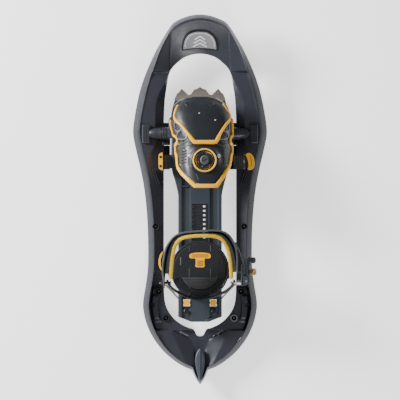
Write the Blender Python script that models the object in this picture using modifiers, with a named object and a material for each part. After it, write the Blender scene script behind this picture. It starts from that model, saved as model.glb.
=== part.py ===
"""A moulded snowshoe with a pivoting boot plate: right foot, lying flat on its spikes.

Dimensions are in millimetres and become metres through MM. +Y points to the tip, +X to the wearer's
right and +Z up. The origin is on the ground under the middle of the deck.
"""

import math

import bmesh
import bpy
from mathutils import Matrix, Vector

MM = 0.001
GAP = 0.35            # clearance between two pieces that touch

# Deck
DECK_LENGTH_HALF = 296.4
TIP_RISE = 46.0       # how far the tip curls up
TIP_START = 95.0      # where the curl begins
TAIL_RISE = 9.0
TAIL_START = -215.0
RIM_BOTTOM = 10.5     # height of the rim's lower edge above the ground
SKIN = 3.0
CREST_INSET = 9.5     # from the outer edge to the crest
INNER_X = 58.0        # half the width of the opening

# Pivot
AXLE_Y = 106.5
AXLE_Z = 34.0
AXLE_R = 4.0
AXLE_HALF = 90.0
BOSS_R = 10.0
LUG_INNER_X = 47.3

# Boot plate
PLATE_TOP = 50.0
PLATE_DEPTH = 16.0
PLATE_WALL = 3.0
PLATE_WEB = 3.5
FRONT_HALF = 44.0
RAIL_HALF = 35.0
PLATE_FRONT = 158.0
PLATE_REAR = -186.0
RACK_FRONT = 12.0
RACK_REAR = -128.0
RACK_HALF = 15.0
RACK_PITCH = 7.0
RACK_FLOOR = PLATE_TOP - 2.2

# Heel unit
HEEL_Y = -111.5
HEEL_R = 47.0
HEEL_BASE = PLATE_TOP + GAP
HEEL_TOP = 58.0
LEVER_AXIS = (0.0, -104.5, 55.6)
ANCHOR_Y = -131.5
ANCHOR_Z = 97.0

# Heel lift
BAIL_Y = -164.4
BAIL_Z = 43.0
BAIL_R = 1.7

# Dial
DIAL_X = 7.4
DIAL_Y = 62.8
DIAL_PAD_Z = 118.6
DIAL_TILT = math.radians(6.0)

# Buckle
BUCKLE_AXIS = (73.5, -129.0, 97.0)
RELEASE_AXIS = (85.0, -114.0, 97.0)

# Deck outline, tip to tail, as matching points of the outer edge and of the opening: x, y, x, y
DECK_STATIONS = (
    (0.0, 296.4, 0.0, 234.0),
    (16.0, 294.5, 9.0, 233.3),
    (30.0, 290.0, 18.0, 231.0),
    (42.0, 283.5, 27.0, 227.0),
    (50.0, 274.0, 36.0, 220.0),
    (60.0, 258.0, 44.0, 212.0),
    (70.0, 240.0, 49.0, 203.0),
    (79.5, 220.0, 51.5, 192.0),
    (88.0, 200.0, 53.5, 180.0),
    (96.0, 176.0, 55.8, 165.0),
    (102.3, 148.0, 57.3, 145.0),
    (106.5, 122.0, INNER_X, 124.0),
    (107.2, 104.0, INNER_X, 104.0),
    (102.6, 80.0, INNER_X, 80.0),
    (96.0, 52.0, INNER_X, 52.0),
    (90.2, 22.0, INNER_X, 22.0),
    (86.5, -8.0, INNER_X, -8.0),
    (84.0, -44.0, INNER_X, -44.0),
    (83.2, -85.0, INNER_X, -85.0),
    (84.0, -112.0, INNER_X, -112.0),
    (87.4, -138.0, INNER_X, -135.0),
    (91.0, -160.0, 57.0, -158.0),
    (91.0, -176.0, 53.0, -174.0),
    (86.0, -198.0, 43.0, -189.0),
    (76.0, -220.0, 31.0, -199.0),
    (60.0, -241.5, 19.0, -204.8),
    (42.0, -257.5, 11.5, -206.9),
    (26.0, -267.5, 8.5, -210.5),
    (14.0, -272.5, 6.5, -215.0),
    (11.0, -277.5, 4.5, -217.6),
    (6.5, -287.5, 2.2, -218.5),
    (0.0, -296.4, 0.0, -218.6),
)
# Height of the deck's inner edge below the crest, by y: shallow at the tip, a pocket beside the heel
INNER_DROP = ((-300, 6), (-215, 7), (-200, 13), (-185, 14), (-130, 14), (-112, 8), (-90, 7), (300, 7))
DECK_DEPTH = ((-297, 12), (-230, 17), (-180, 23.5), (150, 23.5), (230, 19), (297, 14))

SPIKES = {"front": (71.0, -42.4, 28.5), "middle": (66.0, -146.8, 19.5), "rear": (54.5, -189.4, 19.5)}

# Toe harness in plan: y, left edge, right edge
HARNESS_EDGES = (
    (19, -8, 27), (30, -19, 34), (43, -31, 42), (55, -36.5, 48), (66, -38.5, 50.5), (78, -40, 52.5),
    (86, -40, 52), (96, -39.5, 51.5), (104, -43, 52), (113, -46, 52.5), (122, -47.5, 52),
    (131, -46.5, 50), (140, -45, 47), (150, -42, 43), (157, -35, 36), (162, -25, 25),
)
CAP_EDGES = ((96, -6.4, 21.8), (108, -16, 28.5), (121, -26.5, 36.4), (134, -37, 44),
             (142, -35, 40), (150, -32, 34.5), (157, -26, 28), (162, -18, 19), (165, -8, 9))
PANEL_EDGES = ((26, -2, 20), (34, -10, 26), (44, -17, 33), (56, -20, 36), (70, -19, 35), (80, -16, 31), (84, -12, 27))
# Boot shape under the harness: y, middle line, half width, height above the plate
BOOT_SHAPE = ((10, 8, 46, 71), (30, 8, 46, 68), (50, 7, 45.5, 65), (62, 6.5, 45, 62), (72, 6.2, 43.2, 60),
              (86, 6.0, 43.4, 57), (104, 4.5, 45, 53), (122, 2.2, 47, 46), (134, 1.5, 45.3, 41),
              (145, 0.8, 42.8, 35), (152, 0.5, 39.5, 30), (158, 0, 33, 25), (163, 0, 26, 20), (167, 0, 22, 16))
BOOT_SQUARENESS = 2.7
WING_REAR = 66.0      # ahead of this the harness comes down to the plate
BOOT_REACH = 52.0     # millimetres of surface to one radian
HARNESS_SKIN = 2.4
CAP_SKIN = 2.4
CAP_GAP = 0.9         # wider than GAP: both faces curve

MATERIALS = {
    "deck_plastic": ((0.085, 0.088, 0.098), 0.42, 0.0),
    "plate_plastic": ((0.075, 0.085, 0.095), 0.40, 0.0),
    "black_plastic": ((0.035, 0.038, 0.042), 0.45, 0.0),
    "yellow_plastic": ((0.83, 0.46, 0.04), 0.40, 0.0),
    "yellow_padding": ((0.70, 0.42, 0.06), 0.80, 0.0),
    "strap_rubber": ((0.03, 0.032, 0.034), 0.60, 0.0),
    "steel": ((0.42, 0.40, 0.38), 0.38, 1.0),
    "badge_plastic": ((0.22, 0.22, 0.24), 0.35, 0.0),
}


# ---------------------------------------------------------------- helpers

def clear_scene():
    for obj in list(bpy.data.objects):
        bpy.data.objects.remove(obj)


def new_collection(name):
    group = bpy.data.collections.new(name)
    bpy.context.scene.collection.children.link(group)
    return group


def material(name):
    found = bpy.data.materials.get(name)
    if found:
        return found
    colour, roughness, metallic = MATERIALS[name]
    made = bpy.data.materials.new(name)
    made.use_nodes = True
    shader = made.node_tree.nodes["Principled BSDF"]
    shader.inputs["Base Color"].default_value = (*colour, 1.0)
    shader.inputs["Roughness"].default_value = roughness
    shader.inputs["Metallic"].default_value = metallic
    return made


def blend_rows(table, at, column):
    """Value of one column of a table at a place in its first column: a smooth curve with no overshoot."""
    rows = sorted(table)
    if at <= rows[0][0]:
        return rows[0][column]
    if at >= rows[-1][0]:
        return rows[-1][column]
    k = max(i for i, row in enumerate(rows[:-1]) if row[0] <= at)

    def slope(i):
        return (rows[i + 1][column] - rows[i][column]) / (rows[i + 1][0] - rows[i][0])

    def tangent(i):
        if i == 0 or i == len(rows) - 1:
            return slope(min(i, len(rows) - 2))
        before, after = slope(i - 1), slope(i)
        return 0.0 if before * after <= 0 else 2 * before * after / (before + after)

    width = rows[k + 1][0] - rows[k][0]
    t = (at - rows[k][0]) / width
    low, high = rows[k][column], rows[k + 1][column]
    return ((2 * t**3 - 3 * t**2 + 1) * low + (t**3 - 2 * t**2 + t) * width * tangent(k)
            + (3 * t**2 - 2 * t**3) * high + (t**3 - t**2) * width * tangent(k + 1))


def add(name, mesh, finish, group=None):
    obj = bpy.data.objects.new(name, mesh)
    (group or PARTS).objects.link(obj)
    obj.data.materials.append(material(finish))
    return obj


def from_bmesh(name, bm, finish, group=None):
    bmesh.ops.recalc_face_normals(bm, faces=bm.faces)
    mesh = bpy.data.meshes.new(name)
    bm.to_mesh(mesh)
    bm.free()
    obj = add(name, mesh, finish, group)
    mesh.shade_smooth()
    mesh.set_sharp_from_angle(angle=math.radians(35))
    return obj


def loft(name, rings, finish, caps=True, group=None):
    """Joins closed rings of points with quads; every ring has as many points as the first."""
    bm = bmesh.new()
    made = [[bm.verts.new(Vector(p) * MM) for p in ring] for ring in rings]
    count = len(made[0])
    for one, two in zip(made, made[1:]):
        for i in range(count):
            j = (i + 1) % count
            bm.faces.new((one[i], one[j], two[j], two[i]))
    if caps:
        bm.faces.new(made[0])
        bm.faces.new(list(reversed(made[-1])))
    return from_bmesh(name, bm, finish, group)


def prism(name, outline, low, high, finish, group=None, bevel=0.0):
    """An outline in plan, extruded upwards."""
    bm = bmesh.new()
    face = bm.faces.new([bm.verts.new(Vector((x, y, low)) * MM) for x, y in outline])
    made = bmesh.ops.extrude_face_region(bm, geom=[face])
    moved = [v for v in made["geom"] if isinstance(v, bmesh.types.BMVert)]
    bmesh.ops.translate(bm, verts=moved, vec=Vector((0, 0, (high - low) * MM)))
    obj = from_bmesh(name, bm, finish, group)
    if bevel:
        add_bevel(obj, bevel)
    return obj


def block(name, low, high, finish, group=None, bevel=0.0, segments=1):
    bm = bmesh.new()
    bmesh.ops.create_cube(bm, size=1.0)
    size = Vector(high) - Vector(low)
    middle = (Vector(high) + Vector(low)) / 2
    bmesh.ops.scale(bm, vec=size * MM, verts=bm.verts)
    bmesh.ops.translate(bm, vec=middle * MM, verts=bm.verts)
    obj = from_bmesh(name, bm, finish, group)
    if bevel:
        add_bevel(obj, bevel, segments)
    return obj


def rod(name, start, end, radius, finish, sides=16, group=None, radius_end=None):
    """A cylinder, or a cone, between two points."""
    a, b = Vector(start), Vector(end)
    turn = (b - a).to_track_quat("Z", "Y").to_matrix().to_4x4()
    place = Matrix.Translation((a + b) / 2 * MM) @ turn
    bm = bmesh.new()
    bmesh.ops.create_cone(
        bm, cap_ends=True, segments=sides, radius1=radius * MM,
        radius2=(radius if radius_end is None else radius_end) * MM, depth=(b - a).length * MM, matrix=place)
    return from_bmesh(name, bm, finish, group)


def turned(name, profile, place, finish, sides=16, group=None):
    """A profile of (radius, height) points turned about the local Z axis of the place matrix."""
    bm = bmesh.new()
    closed = profile[0][0] > 0 and profile[-1][0] > 0
    points = [bm.verts.new((r * MM, 0, z * MM)) for r, z in profile]
    edges = [bm.edges.new(pair) for pair in zip(points, points[1:])]
    if closed:
        edges.append(bm.edges.new((points[-1], points[0])))
    bmesh.ops.spin(bm, geom=points + edges, cent=(0, 0, 0), axis=(0, 0, 1), angle=2 * math.pi,
                   steps=sides, use_merge=True)
    bmesh.ops.remove_doubles(bm, verts=bm.verts, dist=0.00001)
    bm.transform(place)
    return from_bmesh(name, bm, finish, group)


def at(x, y, z, tilt=0.0):
    """A local frame at a point, leaning forward by tilt."""
    return Matrix.Translation(Vector((x, y, z)) * MM) @ Matrix.Rotation(-tilt, 4, "X")


def wire(name, points, radius, finish, resolution=2):
    data = bpy.data.curves.new(name, "CURVE")
    data.dimensions = "3D"
    data.bevel_depth = radius * MM
    data.bevel_resolution = resolution
    data.use_fill_caps = True
    spline = data.splines.new("POLY")
    spline.points.add(len(points) - 1)
    for point, place in zip(spline.points, points):
        point.co = (*(Vector(place) * MM), 1.0)
    obj = bpy.data.objects.new(name, data)
    PARTS.objects.link(obj)
    data.materials.append(material(finish))
    return obj


def band(name, path, width, thickness, finish, lean=lambda i: 0.0):
    """A strap: a flat section swept along a path of (x, y, z), standing upright and leaning out by lean(i)."""
    rings = []
    for i, p in enumerate(path):
        along = (Vector(path[min(i + 1, len(path) - 1)]) - Vector(path[max(i - 1, 0)])).normalized()
        out = along.cross(Vector((0, 0, 1))).normalized()
        up = (out.cross(along)).normalized()
        angle = lean(i)
        tall = (up * math.cos(angle) - out * math.sin(angle)) * (width / 2)
        thick = (out * math.cos(angle) + up * math.sin(angle)) * (thickness / 2)
        middle = Vector(p)
        rings.append([middle - tall - thick, middle - tall + thick, middle + tall + thick, middle + tall - thick])
    return loft(name, rings, finish)


def slab(name, edges, floor, ceiling, finish, columns=8, rows_per_step=1):
    """A sheet over a plan region, edges being (y, left, right), between two heights given as functions."""
    ys = []
    for (y0, *_), (y1, *_) in zip(edges, edges[1:]):
        ys += [y0 + (y1 - y0) * k / rows_per_step for k in range(rows_per_step)]
    ys.append(edges[-1][0])
    bm = bmesh.new()
    grids = []
    for height in (floor, ceiling):
        grid = []
        for y in ys:
            left, right = blend_rows(edges, y, 1), blend_rows(edges, y, 2)
            xs = [left + (right - left) * k / columns for k in range(columns + 1)]
            grid.append([bm.verts.new(Vector((x, y, height(x, y))) * MM) for x in xs])
        grids.append(grid)
        for one, two in zip(grid, grid[1:]):
            for i in range(columns):
                bm.faces.new((one[i], one[i + 1], two[i + 1], two[i]))
    low, high = grids
    border = [low[0], [row[-1] for row in low], low[-1][::-1], [row[0] for row in low][::-1]]
    roof = [high[0], [row[-1] for row in high], high[-1][::-1], [row[0] for row in high][::-1]]
    for under, over in zip(border, roof):
        for i in range(len(under) - 1):
            bm.faces.new((under[i], under[i + 1], over[i + 1], over[i]))
    return from_bmesh(name, bm, finish)


def add_bevel(obj, width, segments=1, angle=40):
    bevel = obj.modifiers.new("bevel", "BEVEL")
    bevel.width = width * MM
    bevel.segments = segments
    bevel.limit_method = "ANGLE"
    bevel.angle_limit = math.radians(angle)


def boolean(obj, other, operation):
    """Joins or cuts with an object, or with every object of a collection."""
    change = obj.modifiers.new(operation.lower(), "BOOLEAN")
    change.operation = operation
    if isinstance(other, bpy.types.Collection):
        change.operand_type = "COLLECTION"
        change.collection = other
        helpers = list(other.objects)
    else:
        change.object = other
        helpers = [other]
    for helper in helpers:
        helper.hide_render = True
        helper.display_type = "WIRE"


def cutter_group(name):
    group = bpy.data.collections.new(name)
    CUTTERS.children.link(group)
    return group


def pivot(name, place, objects):
    """An empty on a joint's axis that carries the pieces that move with it."""
    empty = bpy.data.objects.new(name, None)
    PARTS.objects.link(empty)
    empty.location = Vector(place) * MM
    inverse = Matrix.Translation(-Vector(place) * MM)
    for obj in objects:
        obj.parent = empty
        obj.matrix_parent_inverse = inverse
    return empty


# ---------------------------------------------------------------- deck

def rise(y):
    """How far the deck curls up above its flat middle."""
    front = max(0.0, (y - TIP_START) / (DECK_LENGTH_HALF - TIP_START))
    back = max(0.0, (TAIL_START - y) / (DECK_LENGTH_HALF + TAIL_START))
    return TIP_RISE * front**2 + TAIL_RISE * back**2


def deck_section(outer_x, outer_y, inner_x, inner_y):
    """One closed section across the deck's rim: a roof with a crest, open underneath."""
    outer, inner = Vector((outer_x, outer_y)), Vector((inner_x, inner_y))
    width = (inner - outer).length
    across = (inner - outer) / width
    crest = min(CREST_INSET, width * 0.32)
    half = width * 0.55
    depth = blend_rows(DECK_DEPTH, outer_y, 1)
    drop = blend_rows(INNER_DROP, inner_y, 1)

    def point(inward, down, y):
        """A point so far in from the outer edge, so far below the crest."""
        place = outer + across * inward
        return (place.x, place.y, RIM_BOTTOM + depth + rise(y) - down)

    skin = SKIN
    return [
        point(0, depth, outer_y), point(1.4, 12, outer_y), point(crest, 0, outer_y),
        point(half, drop * 0.45, (outer_y + inner_y) / 2), point(width - 1.2, drop, inner_y),
        point(width, min(depth - 2, drop + 11), inner_y), point(width - skin, min(depth - 2, drop + 11), inner_y),
        point(width - skin - 1.2, drop + skin + 0.6, inner_y),
        point(half, drop * 0.45 + skin, (outer_y + inner_y) / 2), point(crest + 0.8, skin, outer_y),
        point(1.4 + skin, 12 + skin * 0.6, outer_y), point(skin, depth, outer_y),
    ]


def make_deck():
    deck = loft("deck_frame", [deck_section(*row) for row in DECK_STATIONS], "deck_plastic", caps=False)
    for vertex in deck.data.vertices:
        if abs(vertex.co.x) < 0.02 * MM:
            vertex.co.x = 0.0
    mirror = deck.modifiers.new("mirror", "MIRROR")
    mirror.merge_threshold = 0.00005
    additions, holes = cutter_group("deck additions"), cutter_group("deck holes")
    for side in (-1, 1):
        tag = "left" if side < 0 else "right"
        lug = sorted((side * LUG_INNER_X, side * (INNER_X + 2.0)))
        block(f"lug_{tag}", (lug[0], 54.0, 13.0), (lug[1], 123.0, 27.2), "deck_plastic", additions)
        rod(f"boss_{tag}", (side * LUG_INNER_X, AXLE_Y, AXLE_Z), (side * 82.0, AXLE_Y, AXLE_Z), BOSS_R,
            "deck_plastic", 20, additions)
        end = sorted((side * 79.0, side * 93.5))
        block(f"housing_{tag}", (end[0], 91.0, 20.0), (end[1], 121.0, 41.5), "deck_plastic", additions)
        for place, (x, y, top) in SPIKES.items():
            rod(f"pillar_{place}_{tag}", (side * x, y, RIM_BOTTOM + 1.0), (side * x, y, top - 1.5), 7.5,
                "deck_plastic", 14, additions)
            rod(f"hole_{place}_{tag}", (side * x, y, 2.0), (side * x, y, top + 20.0), 4.3,
                "deck_plastic", 14, holes)
    rod("axle_bore", (-92.0, AXLE_Y, AXLE_Z), (92.0, AXLE_Y, AXLE_Z), AXLE_R + 0.45, "deck_plastic", 16, holes)
    tilt_badge(prism("badge_seat", badge_outline(0.4), 50.0, 80.0, "deck_plastic", holes))
    boolean(deck, additions, "UNION")
    boolean(deck, holes, "DIFFERENCE")


def badge_outline(grow=0.0):
    """The D-shaped seat at the tip: an arch over a shallow curved foot."""
    arch = [(math.copysign(26.5 * abs(math.cos(math.radians(a))) ** 0.8, 90 - a),
             240.5 + 28.0 * math.sin(math.radians(a)) ** 0.8) for a in range(0, 181, 15)]
    foot = [(-13.0, 242.4), (0.0, 243.0), (13.0, 242.4)]
    centre = Vector((0.0, 255.0))
    return [tuple(centre + (Vector(p) - centre) * (1 + grow / 25.0)) for p in arch + foot]


def make_root_parts():
    make_deck()
    tilt_badge(prism("nose_badge", badge_outline(), 50.3, 54.2, "badge_plastic"))
    rod("pivot_axle", (-AXLE_HALF, AXLE_Y, AXLE_Z), (AXLE_HALF, AXLE_Y, AXLE_Z), AXLE_R, "steel", 16)
    for side in (-1, 1):
        tag = "left" if side < 0 else "right"
        turned(f"thrust_washer_{tag}", [(4.5, 0), (8.5, 0), (8.5, 1.2), (4.5, 1.2)],
               Matrix.Translation(Vector((side * 46.2 - 0.6, AXLE_Y, AXLE_Z)) * MM)
               @ Matrix.Rotation(math.pi / 2, 4, "Y"), "steel", 16)
        for place, (x, y, top) in SPIKES.items():
            turned(f"spike_{place}_{tag}",
                   [(0, top - 5.0), (3.9, top - 5.0), (3.9, RIM_BOTTOM + 0.6), (7.0, RIM_BOTTOM + 0.6),
                    (7.0, 7.6), (4.2, 7.0), (1.1, 0.3), (0, 0)],
                   at(side * x, y, 0), "steel", 12)


def tilt_badge(badge):
    """Leans the badge with the deck, which climbs 0.57 mm per millimetre there."""
    for vertex in badge.data.vertices:
        vertex.co.z += 0.57 * (vertex.co.y - 256.0 * MM)


# ---------------------------------------------------------------- boot plate

def plate_outline(inset=0.0):
    """Half widths from the round toe to the round heel end, then mirrored."""
    toe = [(FRONT_HALF * math.sin(math.radians(a)) * 0.9, PLATE_FRONT - 20 + 20 * math.cos(math.radians(a)))
           for a in (8, 30, 52, 75)]
    waist = [(FRONT_HALF, 120.0), (FRONT_HALF + 1.0, 60.0), (FRONT_HALF, 48.0), (39.5, 28.0), (RAIL_HALF, 4.0)]
    heel = [(RAIL_HALF, PLATE_REAR), (24.0, PLATE_REAR - 5.0), (12.0, PLATE_REAR - 8.0)]
    right = [(x - inset if x > inset + 4 else x, y) for x, y in toe + waist + heel]
    top, bottom = PLATE_FRONT - inset, PLATE_REAR - 9.0 + inset
    right = [(x, min(max(y, bottom), top)) for x, y in right]
    return right + [(-x, y) for x, y in reversed(right)]


def make_boot_plate():
    plate = prism("boot_plate", plate_outline(), PLATE_TOP - PLATE_DEPTH, PLATE_TOP, "plate_plastic")
    hollow = prism("plate_hollow", plate_outline(PLATE_WALL), PLATE_TOP - PLATE_DEPTH - 5, PLATE_TOP - PLATE_WEB,
                   "plate_plastic", CUTTERS)
    boolean(plate, hollow, "DIFFERENCE")
    sleeve = rod("plate_sleeve", (-45.2, AXLE_Y, AXLE_Z), (45.2, AXLE_Y, AXLE_Z), BOSS_R, "plate_plastic", 20,
                 CUTTERS)
    bridge = block("plate_bridge", (-42.0, AXLE_Y - 10, AXLE_Z), (42.0, AXLE_Y + 10, PLATE_TOP - 1.5),
                   "plate_plastic", CUTTERS)
    rib = block("plate_rib", (-2.0, PLATE_REAR + 8, 40.0), (2.0, AXLE_Y - 6, PLATE_TOP - 2.6), "plate_plastic", CUTTERS)
    shelf_right = block("shelf_right", (38.0, 58.0, 46.5), (53.4, 134.0, PLATE_TOP - 0.02), "plate_plastic", CUTTERS)
    shelf_left = block("shelf_left", (-50.4, 97.0, 46.5), (-38.0, 134.0, PLATE_TOP - 0.02), "plate_plastic", CUTTERS)
    for helper in (sleeve, bridge, rib, shelf_right, shelf_left):
        boolean(plate, helper, "UNION")
    cuts = cutter_group("plate cuts")
    rod("sleeve_bore", (-60, AXLE_Y, AXLE_Z), (60, AXLE_Y, AXLE_Z), 6.9, "plate_plastic", 16, cuts)
    block("rack_pocket", (-RACK_HALF - 0.4, RACK_REAR - 1, RACK_FLOOR), (RACK_HALF + 0.4, RACK_FRONT + 1, 60),
          "plate_plastic", cuts)
    for side in (-1, 1):
        tag = "left" if side < 0 else "right"
        window = sorted((side * 16.0, side * 26.4))
        block(f"bearing_window_{tag}", (window[0], -169.8, 38.0), (window[1], -159.0, 60.0), "plate_plastic", cuts)
        notch = sorted((side * 30.0, side * 40.0))
        block(f"bail_notch_{tag}", (notch[0], -172.0, 30.0), (notch[1], -142.0, 46.2), "plate_plastic", cuts)
        rod(f"screw_hole_{tag}", (side * 22.0, -178.3, 40.0), (side * 22.0, -178.3, 60.0), 2.6,
            "plate_plastic", 12, cuts)
        for k, y in enumerate((136.0, 84.0)):
            rod(f"rivet_hole_{k}_{tag}", (side * 30.0, y, 30.0), (side * 30.0, y, 60.0), 2.6,
                "plate_plastic", 10, cuts)
    block("rib_clearance", (-4.0, -170.0, 38.0), (4.0, -158.5, 46.2), "plate_plastic", cuts)
    boolean(plate, cuts, "DIFFERENCE")
    return plate


def make_rack():
    """The length rack: a comb of square teeth along one edge, one notch each RACK_PITCH."""
    teeth = int((RACK_FRONT - RACK_REAR - 8) // RACK_PITCH)
    outline = [(-12.0, RACK_REAR), (-12.0, RACK_FRONT)]
    for k in range(teeth):
        y = RACK_FRONT - k * RACK_PITCH
        outline += [(11.0, y), (11.0, y - RACK_PITCH * 0.5), (7.0, y - RACK_PITCH * 0.5), (7.0, y - RACK_PITCH)]
    outline += [(11.0, outline[-1][1]), (11.0, RACK_REAR)]
    return prism("length_rack", outline, RACK_FLOOR + 0.3, RACK_FLOOR + 1.7, "black_plastic")


def make_crampon():
    """Toothed steel claw: a flat web under the toe, bent down in front, with five teeth."""
    thickness = 2.6
    web = [(39.0, 112.0), (44.5, 128.0), (44.5, 147.0), (41.0, 158.0)]
    web_top = PLATE_TOP - PLATE_DEPTH - GAP
    outline = web + [(-x, y) for x, y in reversed(web)]
    base = prism("front_crampon", outline, web_top - thickness, web_top, "steel")
    half = [(41.0, 0.0), (40.5, 6.0), (37.5, 16.5), (33.5, 22.0), (29.5, 30.0), (25.5, 25.0), (19.0, 14.5),
            (15.0, 16.0), (9.0, 28.5), (5.0, 29.5), (0.0, 34.5)]
    fan = half + [(-x, along) for x, along in reversed(half[:-1])]
    start = Vector((0.0, 157.5, web_top - thickness))
    slope = math.radians(48.0)
    direction = Vector((0.0, math.cos(slope), -math.sin(slope)))
    normal = Vector((0.0, math.sin(slope), math.cos(slope)))
    bm = bmesh.new()
    lower = [bm.verts.new((start + Vector((x, 0, 0)) + direction * (along - 1.0)) * MM) for x, along in fan]
    face = bm.faces.new(lower)
    made = bmesh.ops.extrude_face_region(bm, geom=[face])
    moved = [v for v in made["geom"] if isinstance(v, bmesh.types.BMVert)]
    bmesh.ops.translate(bm, verts=moved, vec=normal * thickness * MM)
    claw = from_bmesh("crampon_claw", bm, "steel", CUTTERS)
    boolean(base, claw, "UNION")
    holes = cutter_group("crampon holes")
    for side in (-1, 1):
        rod(f"crampon_hole_{side}", (side * 30.0, 136.0, 20.0), (side * 30.0, 136.0, 40.0), 2.6, "steel", 10, holes)
    window = [(-16.0, 112.0), (16.0, 112.0), (12.0, 128.0), (-12.0, 128.0)]
    prism("crampon_window", window, 20.0, 40.0, "steel", holes)
    block("sleeve_room", (-60, 80.0, 20.0), (60, AXLE_Y + BOSS_R + 0.6, 40.0), "steel", holes)
    boolean(base, holes, "DIFFERENCE")
    return base


def boot_height(offset):
    """Height of the surface so far outside the boot, as a function of the place in plan."""
    def height(x, y):
        share = min(0.985, abs(x - blend_rows(BOOT_SHAPE, y, 1)) / (blend_rows(BOOT_SHAPE, y, 2) + offset))
        tall = blend_rows(BOOT_SHAPE, y, 3) + offset
        return PLATE_TOP + GAP + tall * (1 - share**BOOT_SQUARENESS) ** (1 / BOOT_SQUARENESS)
    return height


def boot_point(angle, y, offset):
    """A point on the surface so far outside the boot: angle 0 is the top, +-90 degrees the plate."""
    power = 2 / BOOT_SQUARENESS
    half = blend_rows(BOOT_SHAPE, y, 2) + offset
    tall = blend_rows(BOOT_SHAPE, y, 3) + offset
    across = math.copysign(abs(math.sin(angle)) ** power, angle) * half
    return Vector((blend_rows(BOOT_SHAPE, y, 1) + across, y,
                   PLATE_TOP + GAP + tall * max(0.0, math.cos(angle)) ** power))


def edge_angle(x, y, offset=0.0):
    """The angle at which the surface passes over a place in plan."""
    away = x - blend_rows(BOOT_SHAPE, y, 1)
    share = min(1.0, abs(away) / (blend_rows(BOOT_SHAPE, y, 2) + offset))
    return math.copysign(math.asin(share ** (BOOT_SQUARENESS / 2)), away)


def harness_angles(y):
    """How far the harness reaches down on the left and on the right."""
    if y >= WING_REAR:
        return -math.pi / 2, math.pi / 2
    left, right = blend_rows(HARNESS_EDGES, y, 1), blend_rows(HARNESS_EDGES, y, 2)
    return edge_angle(left, y, HARNESS_SKIN), edge_angle(right, y, HARNESS_SKIN)


def cap_angles(y):
    left, right = blend_rows(CAP_EDGES, y, 1), blend_rows(CAP_EDGES, y, 2)
    return edge_angle(left, y, HARNESS_SKIN), edge_angle(right, y, HARNESS_SKIN)


def shell(name, ys, columns, limits, inner, outer, finish):
    """A skin over the boot shape: two offset surfaces, joined around their border."""
    bm = bmesh.new()
    grids = []
    for offset in (inner, outer):
        grid = []
        for y in ys:
            left, right = limits(y)
            angles = [left + (right - left) * k / columns for k in range(columns + 1)]
            grid.append([bm.verts.new(boot_point(a, y, offset) * MM) for a in angles])
        for one, two in zip(grid, grid[1:]):
            for i in range(columns):
                bm.faces.new((one[i], one[i + 1], two[i + 1], two[i]))
        grids.append(grid)
    low, high = grids
    border = [low[0], [row[-1] for row in low], low[-1][::-1], [row[0] for row in low][::-1]]
    roof = [high[0], [row[-1] for row in high], high[-1][::-1], [row[0] for row in high][::-1]]
    for under, over in zip(border, roof):
        for i in range(len(under) - 1):
            bm.faces.new((under[i], under[i + 1], over[i + 1], over[i]))
    return from_bmesh(name, bm, finish)


def rim_path(limits, ys, steepest, foot_steps=4):
    """Places (angle, y) down the left edge of a skin, across its rear edge and up the right edge."""
    left = [(max(limits(y)[0], -steepest), y) for y in ys]
    right = [(min(limits(y)[1], steepest), y) for y in ys]
    start, end = left[-1], right[-1]
    foot = [(start[0] + (end[0] - start[0]) * k / foot_steps, start[1]) for k in range(1, foot_steps)]
    return left + foot + right[::-1]


def strip_on_boot(name, path, near, far, low, high, finish):
    """An edging that lies along a path, from near to far on its inner side, between two offsets."""
    rings = []
    for i, (angle, y) in enumerate(path):
        ahead, behind = path[min(i + 1, len(path) - 1)], path[max(i - 1, 0)]
        along = Vector(((ahead[0] - behind[0]) * BOOT_REACH, ahead[1] - behind[1])).normalized()
        ring = []
        for lateral, offset in ((near, low), (far, low), (far, high), (near, high)):
            ring.append(boot_point(angle - along.y * lateral / BOOT_REACH, y + along.x * lateral, offset))
        rings.append(ring)
    return loft(name, rings, finish)


def panel_top(x, y):
    """A flat seat under the dial, faired into the harness around it."""
    away = math.hypot(x - DIAL_X, y - DIAL_Y)
    share = min(1.0, max(0.0, (away - 20.0) / 5.0))
    seat = DIAL_PAD_Z - (y - DIAL_Y) * math.tan(DIAL_TILT)
    return seat * (1 - share) + (boot_height(HARNESS_SKIN + CAP_GAP)(x, y) + 1.8) * share


def make_harness():
    rows = [19, 25, 31, 37, 43, 49, 55, 60, 65.9, 66, 72, 79, 86, 93, 100, 107, 114, 121, 128, 135, 141, 147,
            152, 156, 160, 163]
    harness = shell("toe_harness", rows, 16, harness_angles, 0.0, HARNESS_SKIN, "black_plastic")
    cap_low = HARNESS_SKIN + CAP_GAP
    cap_rows = [96, 102, 108, 114, 121, 128, 134, 141, 147, 152, 156, 160, 163, 165]
    cap = shell("toe_cap", cap_rows, 12, cap_angles, cap_low, cap_low + CAP_SKIN, "black_plastic")
    panel = slab("instep_panel", PANEL_EDGES, boot_height(cap_low), panel_top, "black_plastic", columns=9,
                 rows_per_step=2)
    rim = rim_path(harness_angles, (128, 121, 114, 107, 100, 93, 86, 79, 72, 66, 60, 54, 48, 42, 36, 30, 24, 19.3),
                   math.radians(76))
    trim = strip_on_boot("harness_trim", rim, 0.0, 5.0, cap_low, cap_low + 1.8, "yellow_plastic")
    cap_rim = rim_path(cap_angles, (150, 146, 141, 136, 131, 126, 121, 114, 108, 102, 96), math.radians(80))
    cap_trim = strip_on_boot("toe_cap_trim", cap_rim, -1.4, -5.6, cap_low, cap_low + CAP_SKIN + 1.4,
                             "yellow_plastic")
    return [harness, cap, panel, trim, cap_trim]


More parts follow.
